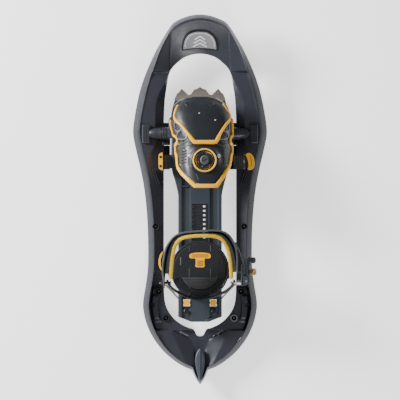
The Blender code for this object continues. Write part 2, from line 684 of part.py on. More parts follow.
def make_side_straps():
    """Two free strap ends beside the harness, each with a yellow pull tab."""
    made = []
    left = [(-45.6, 61.5, 47.0), (-50.0, 61.5, 49.0), (-54.0, 61.5, 55.0), (-58.0, 61.5, 62.0)]
    right = [(54.2, 61.5, 48.2), (58.0, 61.5, 50.0), (65.0, 61.5, 55.5), (71.5, 61.5, 60.0)]
    for tag, path in (("left", left), ("right", right)):
        rings = []
        for i, p in enumerate(path):
            along = Vector(path[min(i + 1, 3)]) - Vector(path[max(i - 1, 0)])
            across = Vector((0, 1, 0))
            normal = along.cross(across).normalized() * 1.3
            middle, half = Vector(p), across * 11.0
            rings.append([middle - half - normal, middle + half - normal, middle + half + normal,
                          middle - half + normal])
        made.append(loft(f"side_strap_{tag}", rings, "strap_rubber"))
    tab_left = block("strap_tab_left", (-66.0, 48.4, 54.0), (-59.6, 74.8, 72.0), "yellow_plastic", bevel=1.8,
                     segments=2)
    outline = [(72.8, 73.5), (79.0, 75.2), (84.5, 70.5), (87.0, 61.5), (86.5, 53.0), (83.0, 48.6), (76.0, 48.4),
               (76.6, 56.0), (75.6, 66.0)]
    tab_right = prism("strap_tab_right", outline, 57.5, 64.5, "yellow_plastic", bevel=1.4)
    return made + [tab_left, tab_right]


def make_binding_parts():
    parts = [make_boot_plate(), make_rack(), make_crampon(), *make_harness(), *make_side_straps()]
    pad = [(-30.0, 74.0), (30.0, 74.0), (33.0, 100.0), (32.0, 128.0), (22.0, 142.0), (-22.0, 142.0),
           (-32.0, 128.0), (-33.0, 100.0)]
    parts.append(prism("toe_grip_pad", pad, PLATE_TOP + GAP, PLATE_TOP + 2.4, "strap_rubber"))
    for side in (-1, 1):
        tag = "left" if side < 0 else "right"
        place = (Matrix.Translation(Vector((side * 37.6, AXLE_Y, AXLE_Z)) * MM)
                 @ Matrix.Rotation(math.pi / 2, 4, "Y"))
        parts.append(turned(f"axle_bush_{tag}", [(4.45, -7.4), (6.4, -7.4), (6.4, 7.4), (4.45, 7.4)], place,
                            "black_plastic", 16))
        head = PLATE_TOP - PLATE_DEPTH - GAP - 2.6 - GAP
        parts.append(turned(f"crampon_rivet_{tag}",
                            [(0, head - 1.6), (4.2, head - 1.2), (4.2, head), (2.2, head), (2.2, PLATE_TOP - 0.9),
                             (0, PLATE_TOP - 0.9)],
                            at(side * 30.0, 136.0, 0), "steel", 10))
        bearing = sorted((side * 16.4, side * 26.0))
        seat = block(f"bail_bearing_{tag}", (bearing[0], -169.4, 38.6), (bearing[1], -159.4, PLATE_TOP + 1.6),
                     "yellow_plastic")
        hole = rod(f"bearing_bore_{tag}", (side * 10.0, BAIL_Y, BAIL_Z), (side * 30.0, BAIL_Y, BAIL_Z),
                   BAIL_R + 0.45, "yellow_plastic", 12, CUTTERS)
        boolean(seat, hole, "DIFFERENCE")
        parts.append(seat)
        parts.append(turned(f"bearing_screw_{tag}",
                            [(0, 42.0), (2.1, 42.0), (2.1, PLATE_TOP + GAP), (4.2, PLATE_TOP + GAP),
                             (4.2, PLATE_TOP + 1.8), (3.2, PLATE_TOP + 2.4), (0, PLATE_TOP + 2.4)],
                            at(side * 22.0, -178.3, 0), "steel", 12))
        x = DIAL_X + side * 22.6
        parts.append(turned(f"instep_rivet_{tag}", [(0, 0), (2.8, 0), (2.8, 1.0), (1.6, 1.9), (0, 2.1)],
                            at(x, 70.0, panel_top(x, 70.0) + 2.8, DIAL_TILT), "steel", 10))
    ring = [(15.9, 0), (19.0, 0), (19.0, 4.2), (18.2, 5.4), (16.9, 5.4), (15.9, 4.6)]
    dial_place = at(DIAL_X, DIAL_Y, DIAL_PAD_Z + GAP, DIAL_TILT)
    parts.append(turned("dial_ring", ring, dial_place, "yellow_plastic", 28))
    return parts


def make_dial():
    """The lock dial: a lobed knob over a yellow disc that shows through three holes, on one screw."""
    place = at(DIAL_X, DIAL_Y, DIAL_PAD_Z + GAP, DIAL_TILT)
    disc = turned("dial_disc", [(3.0, 0.1), (14.8, 0.1), (14.8, 1.6), (3.0, 1.6)], place, "yellow_plastic", 20)
    lobes = []
    for a in range(0, 360, 15):
        radius = 13.9 + 0.9 * math.cos(3 * math.radians(a))
        lobes.append((radius * math.cos(math.radians(a)), radius * math.sin(math.radians(a))))
    knob = prism("dial_knob", lobes, 2.0, 6.0, "black_plastic")
    knob.data.transform(place)
    cuts = cutter_group("knob cuts")
    for a in (72.0, 192.0, 312.0):
        x, y = 11.2 * math.cos(math.radians(a)), 11.2 * math.sin(math.radians(a))
        hole = rod(f"knob_hole_{int(a)}", (x, y, 0.0), (x, y, 12.0), 1.7, "black_plastic", 8, cuts)
        hole.data.transform(place)
    core = rod("knob_core_hole", (0, 0, -2.0), (0, 0, 12.0), 3.0, "black_plastic", 12, cuts)
    core.data.transform(place)
    boolean(knob, cuts, "DIFFERENCE")
    screw = turned("dial_screw", [(0, 0.1), (2.5, 0.1), (2.5, 6.35), (7.2, 6.35), (7.6, 7.6), (6.2, 9.0), (0, 9.4)],
                   place, "black_plastic", 16)
    return [disc, knob, screw]


# ---------------------------------------------------------------- heel unit

def arc_points(centre, radius, start, end, steps):
    return [(centre[0] + radius * math.cos(math.radians(start + (end - start) * k / steps)),
             centre[1] + radius * math.sin(math.radians(start + (end - start) * k / steps)))
            for k in range(steps + 1)]


def tee_outline(grow):
    """The T of the size lever, head forward; grow widens it all round, and twice behind, where its end swings."""
    head, stem, front, step, back = 17.0 + grow, 7.0 + grow, -84.0 + grow, -93.2 - grow, -107.6 - 2 * grow
    return [(-head, step), (-head, front - 2.0), (-head + 3.0, front), (head - 3.0, front), (head, front - 2.0),
            (head, step), (stem, step), (stem, back), (-stem, back), (-stem, step)]


def make_heel_plate():
    circle = arc_points((0.0, HEEL_Y), HEEL_R, 0, 350, 35)
    plate = prism("heel_plate", circle, HEEL_BASE, HEEL_TOP, "black_plastic")
    hooks = cutter_group("heel hooks")
    for side in (-1, 1):
        edge = RAIL_HALF + GAP
        bottom = PLATE_TOP - PLATE_DEPTH - GAP
        outline = [(edge, HEEL_TOP - 2), (edge, bottom), (edge - 3.2, bottom), (edge - 3.2, bottom - 2.6),
                   (edge + 3.0, bottom - 2.6), (edge + 3.0, HEEL_TOP - 2)]
        rings = [[(side * x, y, z) for x, z in outline] for y in (-132.0, -92.0)]
        loft(f"heel_hook_{side}", rings, "black_plastic", group=hooks)
    boolean(plate, hooks, "UNION")
    cuts = cutter_group("heel plate cuts")
    prism("tee_window", tee_outline(0.6), 45.0, 70.0, "black_plastic", cuts)
    x, y, z = LEVER_AXIS
    rod("lever_pin_bore", (-12.0, y, z), (12.0, y, z), 1.85, "black_plastic", 10, cuts)
    boolean(plate, cuts, "DIFFERENCE")
    return plate


def make_heel_cup():
    """Curved heel counter whose two arms climb forward to the ankle strap's anchors."""
    path = []
    for k in range(21):
        a = math.radians(180 + 180 * k / 20)
        share = abs(math.cos(a))
        x = 1.3 + 41.0 * math.cos(a) + math.copysign(11.5, math.cos(a)) * share**3
        y = HEEL_Y - 15.0 + 30.0 * math.sin(a)
        path.append((x, y, share))
    rings = []
    for x, y, share in path:
        outward = Vector((x, y - HEEL_Y)).normalized()
        low = HEEL_TOP + GAP + 24.0 * share**2.2
        high = 86.0 + 20.0 * share**2
        lean = 3.5 - 2.0 * share
        bottom = Vector((x, y))
        inner_low, outer_low = bottom - outward * 1.3, bottom + outward * 1.3
        inner_high, outer_high = inner_low + outward * lean, outer_low + outward * lean
        rings.append([(*inner_low, low), (*outer_low, low), (*outer_high, high), (*inner_high, high)])
    cup = loft("heel_cup", rings, "black_plastic")
    hole = rod("anchor_hole", (-70.0, ANCHOR_Y, ANCHOR_Z), (70.0, ANCHOR_Y, ANCHOR_Z), 2.5, "black_plastic", 12,
               CUTTERS)
    boolean(cup, hole, "DIFFERENCE")
    return cup


def make_heel_parts():
    plate = make_heel_plate()
    cup = make_heel_cup()
    back = arc_points((0.0, HEEL_Y), HEEL_R - 14.0, 200, 340, 14)
    pad = prism("heel_pad", back, HEEL_TOP + GAP, HEEL_TOP + 2.4, "strap_rubber")
    _, y, z = LEVER_AXIS
    pin = rod("size_lever_pin", (-11.4, y, z), (11.4, y, z), 1.4, "steel", 10)
    return [plate, cup, pad, pin]


def make_size_lever():
    lever = prism("size_lever", tee_outline(0.0), 53.4, 57.8, "yellow_plastic")
    _, y, z = LEVER_AXIS
    bore = rod("lever_bore", (-20.0, y, z), (20.0, y, z), 1.8, "yellow_plastic", 10, CUTTERS)
    boolean(lever, bore, "DIFFERENCE")
    pawl = block("lock_pawl", (6.0, -92.6, 50.1), (12.0, -88.6, 53.05), "steel")
    return [lever, pawl]


# ---------------------------------------------------------------- ankle strap and buckle

def smooth_path(points, steps):
    """A smooth curve through hand-chosen points, as many pieces per gap as steps."""
    made = []
    for i in range(len(points) - 1):
        p0, p1 = Vector(points[max(i - 1, 0)]), Vector(points[i])
        p2, p3 = Vector(points[i + 1]), Vector(points[min(i + 2, len(points) - 1)])
        for k in range(steps):
            t = k / steps
            made.append(tuple(0.5 * ((2 * p1) + (p2 - p0) * t + (2 * p0 - 5 * p1 + 4 * p2 - p3) * t**2
                                     + (3 * p1 - p0 - 3 * p2 + p3) * t**3)))
    made.append(tuple(Vector(points[-1])))
    return made


STRAP_ROUTE = ((-57.0, -139.0, 97.0), (-57.2, -118.0, 99.0), (-54.6, -95.0, 105.0), (-48.4, -71.0, 113.0),
               (-33.0, -54.0, 119.5), (1.0, -49.5, 122.5), (35.0, -52.5, 119.5), (50.5, -69.0, 113.0),
               (57.0, -93.0, 105.0), (58.6, -112.0, 100.0))
PAD_ROUTE = ((-46.4, -125.0, 99.0), (-45.8, -108.0, 102.0), (-43.6, -88.0, 107.5), (-39.0, -71.0, 114.5),
             (-27.5, -60.0, 120.5), (1.0, -56.2, 123.5), (29.5, -59.0, 120.5), (41.5, -72.0, 114.5),
             (47.0, -90.0, 107.5), (49.2, -108.0, 102.0), (49.8, -125.0, 99.0))


def make_ankle_strap():
    route = smooth_path(STRAP_ROUTE, 2)
    last = len(route) - 1

    def strap_lean(i):
        """The strap's top leans out along both sides, and it stands upright in front and at its ends."""
        return 0.32 * math.sin(2 * math.pi * i / last) ** 2

    strap = band("ankle_strap", route, 24.0, 2.4, "strap_rubber", strap_lean)
    hole = rod("strap_hole", (-70.0, ANCHOR_Y, ANCHOR_Z), (-50.0, ANCHOR_Y, ANCHOR_Z), 2.5, "strap_rubber", 12,
               CUTTERS)
    boolean(strap, hole, "DIFFERENCE")
    rivet = turned("strap_rivet_left",
                   [(0, -61.9), (4.4, -61.9), (4.4, -60.4), (2.0, -60.4), (2.0, -47.2), (3.2, -47.2),
                    (3.2, -46.2), (0, -46.2)],
                   Matrix.Translation(Vector((0, ANCHOR_Y, ANCHOR_Z)) * MM) @ Matrix.Rotation(math.pi / 2, 4, "Y"),
                   "steel", 12)
    pad_route = smooth_path(PAD_ROUTE, 2)
    pad = band("ankle_pad", pad_route, 21.0, 6.4, "yellow_padding")
    outline = [(-59.4, -82.0), (-62.8, -86.0), (-65.6, -95.0), (-65.2, -104.5), (-61.6, -111.5), (-60.6, -110.6),
               (-62.2, -104.0), (-62.4, -95.0), (-60.4, -88.0), (-58.8, -84.0)]
    pull = prism("pull_tab_left", outline, 95.0, 109.0, "yellow_plastic")
    return [strap, pad, pull, rivet]


def make_buckle():
    """Ratchet buckle on the strap's outer side: base, ladder strap, lever with its pin, release tab."""
    x, y, z = BUCKLE_AXIS
    base = block("buckle_base", (65.4, -137.0, z - 12.0), (68.4, -102.0, z + 12.0), "black_plastic")
    for low, high in ((z - 12.0, z - 9.4), (z + 9.4, z + 12.0)):
        cheek = block(f"buckle_cheek_{int(high)}", (66.0, -136.0, low), (77.0, -121.0, high), "black_plastic",
                      CUTTERS)
        boolean(base, cheek, "UNION")
    bore = rod("buckle_bore", (x, y, z - 20), (x, y, z + 20), 2.0, "black_plastic", 10, CUTTERS)
    boolean(base, bore, "DIFFERENCE")
    inner_face = [(69.0, -119.0), (69.0, -104.0), (66.6, -95.0), (60.6, -80.0), (54.6, -67.5)]
    outer_face = [(56.6, -66.5), (62.6, -79.0), (68.6, -94.2)]
    outline = inner_face + outer_face
    for k in range(7):
        top = -103.5 - k * 2.2
        outline += [(71.0, top), (72.2, top - 0.5), (71.0, top - 1.5)]
    ladder = prism("ladder_strap", outline + [(71.0, -119.0)], z - 8.0, z + 8.0, "strap_rubber")
    for vertex in ladder.data.vertices:
        vertex.co.z += 0.28 * max(0.0, vertex.co.y - -104.0 * MM)
    pin = rod("buckle_pin", (x, y, z - 12.4), (x, y, z + 12.4), 1.6, "steel", 10)
    rivet = turned("buckle_rivet",
                   [(0, 48.4), (3.2, 48.4), (3.2, 49.4), (2.0, 49.4), (2.0, 58.0), (4.0, 58.0), (4.0, 65.0),
                    (0, 65.0)],
                   Matrix.Translation(Vector((0, ANCHOR_Y, ANCHOR_Z)) * MM) @ Matrix.Rotation(math.pi / 2, 4, "Y"),
                   "steel", 12)
    lever_outline = [(71.0, -133.0), (76.5, -133.5), (79.0, -126.0), (78.4, -108.0), (80.0, -99.0), (80.5, -91.5),
                     (76.0, -91.0), (74.2, -97.0), (74.0, -122.0), (70.6, -126.0)]
    lever = prism("buckle_lever", lever_outline, z - 8.6, z + 8.6, "black_plastic")
    lever_bore = rod("buckle_lever_bore", (x, y, z - 20), (x, y, z + 20), 2.0, "black_plastic", 10, CUTTERS)
    boolean(lever, lever_bore, "DIFFERENCE")
    grip = block("lever_grip", (80.9, -100.5, z - 9.0), (88.6, -91.0, z + 9.0), "strap_rubber", bevel=2.0)
    tab_x, tab_y, _ = RELEASE_AXIS
    for low, high in ((z - 8.5, z - 6.2), (z + 6.2, z + 8.5)):
        lug = block(f"lever_lug_{int(high)}", (76.0, tab_y - 3.2, low), (tab_x + 2.6, tab_y + 3.2, high),
                    "black_plastic", CUTTERS)
        boolean(lever, lug, "UNION")
    tab = block("release_tab", (80.2, -119.8, z - 5.5), (90.0, -108.4, z + 5.5), "yellow_plastic", bevel=1.5,
                segments=2)
    release_bore = rod("release_bore", (tab_x, tab_y, z - 20), (tab_x, tab_y, z + 20), 1.4, "yellow_plastic", 10,
                       CUTTERS)
    boolean(lever, release_bore, "DIFFERENCE")
    boolean(tab, release_bore, "DIFFERENCE")
    release_pin = rod("release_pin", (tab_x, tab_y, z - 8.3), (tab_x, tab_y, z + 8.3), 1.0, "steel", 10)
    return [base, ladder, pin, rivet], [lever, grip, release_pin], [tab]


def make_bail():
    """Heel-lift wire: turns in two bearings, its arms splay out to feet above the deck's pockets."""
    half = [(0.0, BAIL_Y, BAIL_Z), (14.0, BAIL_Y, BAIL_Z), (27.0, BAIL_Y, BAIL_Z), (30.0, BAIL_Y + 1.2, BAIL_Z),
            (34.0, BAIL_Y + 7.0, BAIL_Z), (46.0, BAIL_Y + 20.0, BAIL_Z), (55.0, BAIL_Y + 29.0, BAIL_Z),
            (58.5, BAIL_Y + 31.0, BAIL_Z), (65.5, BAIL_Y + 31.5, BAIL_Z)]
    points = [(-x, y, z) for x, y, z in reversed(half[1:])] + half
    return wire("heel_lift_bail", points, BAIL_R, "steel", 1)


clear_scene()
PARTS = new_collection("snowshoe")
CUTTERS = new_collection("cutters")
CUTTERS.hide_render = True

make_root_parts()
binding = make_binding_parts()
dial = make_dial()
heel = make_heel_parts()
size_lever = make_size_lever()
strap = make_ankle_strap()
buckle_fixed, buckle_lever, release = make_buckle()
bail = make_bail()

pivot("binding_axis", (0.0, AXLE_Y, AXLE_Z), binding)
pivot("dial_axis", (DIAL_X, DIAL_Y, DIAL_PAD_Z), dial)
pivot("heel_slide", (0.0, HEEL_Y, HEEL_BASE), heel)
pivot("size_lever_axis", LEVER_AXIS, size_lever)
pivot("strap_axis", (0.0, ANCHOR_Y, ANCHOR_Z), strap + buckle_fixed)
pivot("buckle_axis", BUCKLE_AXIS, buckle_lever)
pivot("release_axis", RELEASE_AXIS, release)
pivot("bail_axis", (0.0, BAIL_Y, BAIL_Z), [bail])
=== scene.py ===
"""The looks of a moulded snowshoe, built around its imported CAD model.

Lengths here are millimetres and become metres through MM. +Y points to the tip, +X to the wearer's
right and +Z up, as in the frame.
"""

import math

import bmesh
import bpy
from mathutils import Matrix, Vector


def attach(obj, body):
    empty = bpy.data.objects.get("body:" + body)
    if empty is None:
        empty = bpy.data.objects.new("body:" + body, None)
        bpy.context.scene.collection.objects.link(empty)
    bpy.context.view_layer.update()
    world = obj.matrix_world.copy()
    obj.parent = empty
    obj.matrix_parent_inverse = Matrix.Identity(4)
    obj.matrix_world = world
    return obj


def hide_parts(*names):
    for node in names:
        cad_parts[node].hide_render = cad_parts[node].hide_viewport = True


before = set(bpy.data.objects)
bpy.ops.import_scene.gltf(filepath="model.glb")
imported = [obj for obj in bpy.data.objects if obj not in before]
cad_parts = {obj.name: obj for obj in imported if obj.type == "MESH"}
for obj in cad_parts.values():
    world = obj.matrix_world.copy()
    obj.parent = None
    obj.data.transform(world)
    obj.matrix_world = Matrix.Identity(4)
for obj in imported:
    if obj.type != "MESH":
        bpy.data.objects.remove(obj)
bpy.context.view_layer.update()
MM = 0.001
SIDES = ((-1, "left"), (1, "right"))


# ---------------------------------------------------------------- stage

VIEW_WIDTH = 640.0        # millimetres across the picture
CAMERA_HEIGHT = 8000.0


def make_stage():
    floor = bpy.data.meshes.new("floor")
    half = 6.0
    corners = [(-half, -half, 0), (half, -half, 0), (half, half, 0), (-half, half, 0)]
    floor.from_pydata(corners, [], [(0, 1, 2, 3)])
    ground = bpy.data.objects.new("floor", floor)
    bpy.context.scene.collection.objects.link(ground)
    paint = bpy.data.materials.new("floor")
    paint.use_nodes = True
    shader = paint.node_tree.nodes["Principled BSDF"]
    shader.inputs["Base Color"].default_value = (0.92, 0.92, 0.92, 1)
    shader.inputs["Roughness"].default_value = 0.9
    shader.inputs["Emission Color"].default_value = (1, 1, 1, 1)
    shader.inputs["Emission Strength"].default_value = 1.1
    floor.materials.append(paint)

    world = bpy.data.worlds.new("studio")
    bpy.context.scene.world = world
    world.use_nodes = True
    world.node_tree.nodes["Background"].inputs["Color"].default_value = (1, 1, 1, 1)
    world.node_tree.nodes["Background"].inputs["Strength"].default_value = 0.36
    for name, place, size, power in (
            ("key light", (-1.8, 0.9, 0.95), 0.6, 112.0),
            ("rim light", (0.4, -1.6, 1.5), 0.8, 22.0)):
        data = bpy.data.lights.new(name, "AREA")
        data.size = size
        data.energy = power
        lamp = bpy.data.objects.new(name, data)
        lamp.location = place
        lamp.rotation_euler = (Vector((0, 0, 0)) - Vector(place)).to_track_quat("-Z", "Y").to_euler()
        bpy.context.scene.collection.objects.link(lamp)

    data = bpy.data.cameras.new("camera")
    data.sensor_width = 36.0
    data.lens = 36.0 * CAMERA_HEIGHT / VIEW_WIDTH
    camera = bpy.data.objects.new("camera", data)
    camera.location = (0.0, 0.0, (CAMERA_HEIGHT + 45.0) * MM)
    bpy.context.scene.collection.objects.link(camera)
    bpy.context.scene.camera = camera


# ---------------------------------------------------------------- materials

class Nodes:
    """Short names for building a node tree."""

    def __init__(self, name):
        self.material = bpy.data.materials.new(name)
        self.material.use_nodes = True
        self.tree = self.material.node_tree
        self.shader = self.tree.nodes["Principled BSDF"]
        self.place = self.tree.nodes.new("ShaderNodeTexCoord").outputs["Object"]

    def add(self, kind, inputs=(), **settings):
        node = self.tree.nodes.new("ShaderNode" + kind)
        for key, value in settings.items():
            setattr(node, key, value)
        for socket, value in dict(inputs).items():
            if isinstance(value, bpy.types.NodeSocket):
                self.tree.links.new(value, node.inputs[socket])
            else:
                node.inputs[socket].default_value = value
        return node

    def noise(self, scale, detail=2.0, roughness=0.5, stretch=None):
        place = self.place
        if stretch:
            place = self.add("Mapping", {"Vector": place, "Scale": stretch}).outputs["Vector"]
        return self.add("TexNoise", {"Vector": place, "Scale": scale, "Detail": detail,
                                     "Roughness": roughness}).outputs["Fac"]

    def remap(self, value, low, high, to_low=0.0, to_high=1.0):
        return self.add("MapRange", {"Value": value, "From Min": low, "From Max": high,
                                     "To Min": to_low, "To Max": to_high}).outputs["Result"]

    def math(self, operation, a, b=0.0):
        return self.add("Math", {0: a, 1: b}, operation=operation).outputs["Value"]

    def mix(self, share, a, b):
        node = self.add("Mix", {"Factor": share}, data_type="RGBA")
        for socket, value in ((node.inputs[6], a), (node.inputs[7], b)):
            if isinstance(value, bpy.types.NodeSocket):
                self.tree.links.new(value, socket)
            else:
                socket.default_value = (*value, 1.0)
        return node.outputs[2]

    def bump(self, height, strength, distance, normal=None):
        inputs = {"Height": height, "Strength": strength, "Distance": distance * MM}
        if normal is not None:
            inputs["Normal"] = normal
        return self.add("Bump", inputs).outputs["Normal"]

    def edges(self, radius):
        """1 on rounded edges, 0 on flat ground."""
        rounded = self.add("Bevel", {"Radius": radius * MM}, samples=4).outputs["Normal"]
        normal = self.add("NewGeometry").outputs["Normal"]
        dot = self.add("VectorMath", {0: rounded, 1: normal}, operation="DOT_PRODUCT").outputs["Value"]
        return self.remap(dot, 0.995, 0.9)

    def join(self, socket, value):
        self.tree.links.new(value, self.shader.inputs[socket])


def scaled(colour, factor):
    return tuple(min(1.0, c * factor) for c in colour)


def moulded_plastic(name, colour, roughness, grain=0.25, wear=0.35, coat=0.0):
    """Injection-moulded plastic: spark-eroded grain, flow marks, paler rubbed edges and fine scuffs."""
    n = Nodes(name)
    flow = n.noise(14.0, 3.0, 0.55, stretch=(1.0, 0.35, 1.0))
    tint = n.mix(n.remap(flow, 0.3, 0.7), scaled(colour, 0.86), scaled(colour, 1.14))
    scuffs = n.noise(90.0, 6.0, 0.7, stretch=(3.0, 0.5, 1.0))
    scuff_mask = n.math("MULTIPLY", n.remap(scuffs, 0.6, 0.72), n.remap(n.noise(9.0, 2.0), 0.5, 0.65))
    edge = n.math("MULTIPLY", n.edges(0.9), n.remap(n.noise(160.0, 4.0, 0.6), 0.35, 0.65, wear * 0.4, wear))
    worn = n.math("MAXIMUM", edge, n.math("MULTIPLY", scuff_mask, wear * 0.5))
    n.join("Base Color", n.mix(worn, tint, scaled(tuple(c * 0.6 + 0.06 for c in colour), 2.3)))
    rough = n.remap(n.noise(60.0, 4.0, 0.6), 0.3, 0.7, roughness - 0.06, roughness + 0.08)
    n.join("Roughness", n.math("ADD", rough, n.math("MULTIPLY", scuff_mask, 0.12)))
    fine = n.noise(1500.0, 2.0, 0.6)
    coarse = n.noise(420.0, 2.0, 0.5)
    first = n.bump(coarse, grain * 0.5, 0.12)
    n.join("Normal", n.bump(fine, grain, 0.08, first))
    n.shader.inputs["Specular IOR Level"].default_value = 0.34
    n.shader.inputs["Coat Weight"].default_value = coat
    n.shader.inputs["Coat Roughness"].default_value = 0.25
    return n.material


def rubber(name, colour, roughness=0.62):
    """Matt strap rubber with a fine pebbled face and a dusty bloom."""
    n = Nodes(name)
    bloom = n.remap(n.noise(35.0, 4.0, 0.6), 0.35, 0.7)
    n.join("Base Color", n.mix(bloom, colour, scaled(tuple(c + 0.008 for c in colour), 1.5)))
    cells = n.add("TexVoronoi", {"Vector": n.place, "Scale": 900.0}).outputs["Distance"]
    n.join("Normal", n.bump(cells, 0.35, 0.15, n.bump(n.noise(300.0, 3.0), 0.2, 0.1)))
    n.join("Roughness", n.remap(n.noise(50.0, 3.0), 0.3, 0.7, roughness - 0.08, roughness + 0.1))
    return n.material


def steel(name, colour, roughness=0.34, brush=(1.0, 60.0, 60.0), stain=0.35):
    """Rolled, brushed steel with heat tint and darker dirt in its scratches."""
    n = Nodes(name)
    lines = n.noise(30.0, 5.0, 0.7, stretch=brush)
    stains = n.remap(n.noise(45.0, 5.0, 0.65), 0.42, 0.68, 0.0, stain)
    base = n.mix(n.remap(lines, 0.3, 0.7), scaled(colour, 0.8), scaled(colour, 1.2))
    n.join("Base Color", n.mix(stains, base, (colour[0] * 0.45, colour[1] * 0.36, colour[2] * 0.3)))
    n.join("Roughness", n.remap(lines, 0.3, 0.7, roughness - 0.08, roughness + 0.14))
    n.join("Normal", n.bump(lines, 0.25, 0.05, n.bump(n.noise(700.0, 3.0), 0.15, 0.05)))
    n.shader.inputs["Metallic"].default_value = 1.0
    return n.material


def woven_pad(name, colour):
    """Woven cover: two thread directions read from the strip's own length and girth."""
    n = Nodes(name)
    strip = n.add("Attribute", attribute_name="weave").outputs["Vector"]
    warp = n.add("TexWave", {"Vector": strip, "Scale": 0.62, "Distortion": 0.6, "Detail": 1.0,
                             "Detail Scale": 2.0}, bands_direction="X").outputs["Fac"]
    weft = n.add("TexWave", {"Vector": strip, "Scale": 0.62, "Distortion": 0.6, "Detail": 1.0,
                             "Detail Scale": 2.0}, bands_direction="Y").outputs["Fac"]
    cloth = n.math("MULTIPLY", warp, weft)
    fade = n.remap(n.noise(40.0, 4.0, 0.6), 0.3, 0.7)
    tone = n.mix(fade, scaled(colour, 0.88), scaled(colour, 1.08))
    n.join("Base Color", n.mix(n.remap(cloth, 0.0, 0.6), scaled(colour, 0.62), tone))
    n.join("Roughness", n.remap(cloth, 0.0, 1.0, 0.85, 0.6))
    n.join("Normal", n.bump(cloth, 0.55, 0.35, n.bump(n.noise(160.0, 3.0), 0.3, 0.5)))
    n.shader.inputs["Sheen Weight"].default_value = 0.08
    n.shader.inputs["Sheen Roughness"].default_value = 0.5
    return n.material


DECK = moulded_plastic("deck plastic", (0.028, 0.030, 0.040), 0.30, grain=0.22, wear=0.3)
PLATE = moulded_plastic("plate plastic", (0.036, 0.045, 0.056), 0.32, grain=0.2, wear=0.28)
BLACK = moulded_plastic("black plastic", (0.015, 0.017, 0.021), 0.32, grain=0.25, wear=0.3)
# Near-black painted shade, laid in holes, slots, seats and recesses where shade falls.
SHADOW = moulded_plastic("painted shadow plastic", (0.008, 0.008, 0.010), 0.6, grain=0.3, wear=0.1)
YELLOW = moulded_plastic("yellow plastic", (0.95, 0.455, 0.004), 0.36, grain=0.15, wear=0.22, coat=0.2)
# A darker copy of the yellow: painted shade along steps and grip lines on yellow parts.
SHADED_YELLOW = moulded_plastic("painted shade yellow", (0.52, 0.20, 0.006), 0.42, grain=0.2, wear=0.2)
CREAM = moulded_plastic("cream plastic", (0.70, 0.46, 0.10), 0.34, grain=0.12, wear=0.2, coat=0.2)
BADGE = moulded_plastic("badge plastic", (0.16, 0.16, 0.175), 0.3, grain=0.1, wear=0.3, coat=0.3)
SHADOW_BLUE = moulded_plastic("fin plastic", (0.048, 0.056, 0.072), 0.4, grain=0.2, wear=0.25)
WHITE = moulded_plastic("white print", (0.72, 0.72, 0.72), 0.4, grain=0.1, wear=0.05)
RUBBER = rubber("strap rubber", (0.020, 0.021, 0.023))
GREY_RUBBER = rubber("grey rubber", (0.045, 0.048, 0.052), 0.55)
STEEL = steel("steel", (0.34, 0.33, 0.32))
CLAW_STEEL = steel("claw steel", (0.155, 0.135, 0.122), 0.42, stain=0.5)
# Steel darkened to near-black as painted shade for the bearing screws and the left strap rivet.
SHADOW_STEEL = steel("dark steel", (0.05, 0.05, 0.056), 0.42, stain=0.2)
BRIGHT_STEEL = steel("bright steel", (0.72, 0.71, 0.69), 0.26, stain=0.12)
WOVEN = woven_pad("woven cover", (1.0, 0.60, 0.006))


# ---------------------------------------------------------------- mesh helpers

def shade(mesh, angle):
    """Smooth shading, with a crease at each edge sharper than angle degrees."""
    mesh.shade_smooth()
    mesh.set_sharp_from_angle(angle=math.radians(angle))


def show(name, mesh_or_bm, material, body, smooth=35.0, replaces=()):
    """Makes an object of a mesh in millimetres and hands it to a CAD body."""
    if isinstance(mesh_or_bm, bmesh.types.BMesh):
        bmesh.ops.recalc_face_normals(mesh_or_bm, faces=mesh_or_bm.faces)
        mesh = bpy.data.meshes.new(name)
        mesh_or_bm.to_mesh(mesh)
        mesh_or_bm.free()
    else:
        mesh = mesh_or_bm
    mesh.transform(Matrix.Scale(MM, 4))
    shade(mesh, smooth)
    piece = bpy.data.objects.new(name, mesh)
    bpy.context.scene.collection.objects.link(piece)
    mesh.materials.append(material)
    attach(piece, body)
    if replaces:
        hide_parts(*replaces)
    return piece


def rounded(piece, width, segments=3, angle=30.0):
    bevel = piece.modifiers.new("rounded edges", "BEVEL")
    bevel.width = width * MM
    bevel.segments = segments
    bevel.limit_method = "ANGLE"
    bevel.angle_limit = math.radians(angle)
    bevel.harden_normals = True
    return piece


def finer(piece, levels=2):
    smooth = piece.modifiers.new("finer", "SUBSURF")
    smooth.levels = levels
    smooth.render_levels = levels
    return piece


def cut(piece, bm, body):
    """Cuts the shape of a mesh out of a piece for good."""
    tool = show("tool", bm, piece.data.materials[0], body)
    change = piece.modifiers.new("cut", "BOOLEAN")
    change.operation = "DIFFERENCE"
    change.object = tool
    bpy.context.view_layer.update()
    solid = bpy.data.meshes.new_from_object(piece.evaluated_get(bpy.context.evaluated_depsgraph_get()))
    piece.modifiers.remove(change)
    piece.data = solid
    bpy.data.objects.remove(tool)
    return piece


def loft_bm(rings, closed=True, caps=True, loop=False):
    """Quads between rings of points; loop joins the last ring to the first."""
    bm = bmesh.new()
    made = [[bm.verts.new(p) for p in ring] for ring in rings]
    pairs = list(zip(made, made[1:])) + ([(made[-1], made[0])] if loop else [])
    count = len(made[0])
    for one, two in pairs:
        for i in range(count if closed else count - 1):
            j = (i + 1) % count
            bm.faces.new((one[i], one[j], two[j], two[i]))
    if caps and closed and not loop:
        bm.faces.new(made[0])
        bm.faces.new(made[-1][::-1])
    return bm


def prism_bm(outline, low, high):
    return loft_bm([[(x, y, low) for x, y in outline], [(x, y, high) for x, y in outline]])


def block_bm(low, high):
    (x0, y0, z0), (x1, y1, z1) = low, high
    return prism_bm([(x0, y0), (x1, y0), (x1, y1), (x0, y1)], z0, z1)


def side_block_bm(side, low, high):
    """A block given for the right-hand side; side -1 puts it on the left."""
    x0, x1 = sorted((side * low[0], side * high[0]))
    return block_bm((x0, *low[1:]), (x1, *high[1:]))


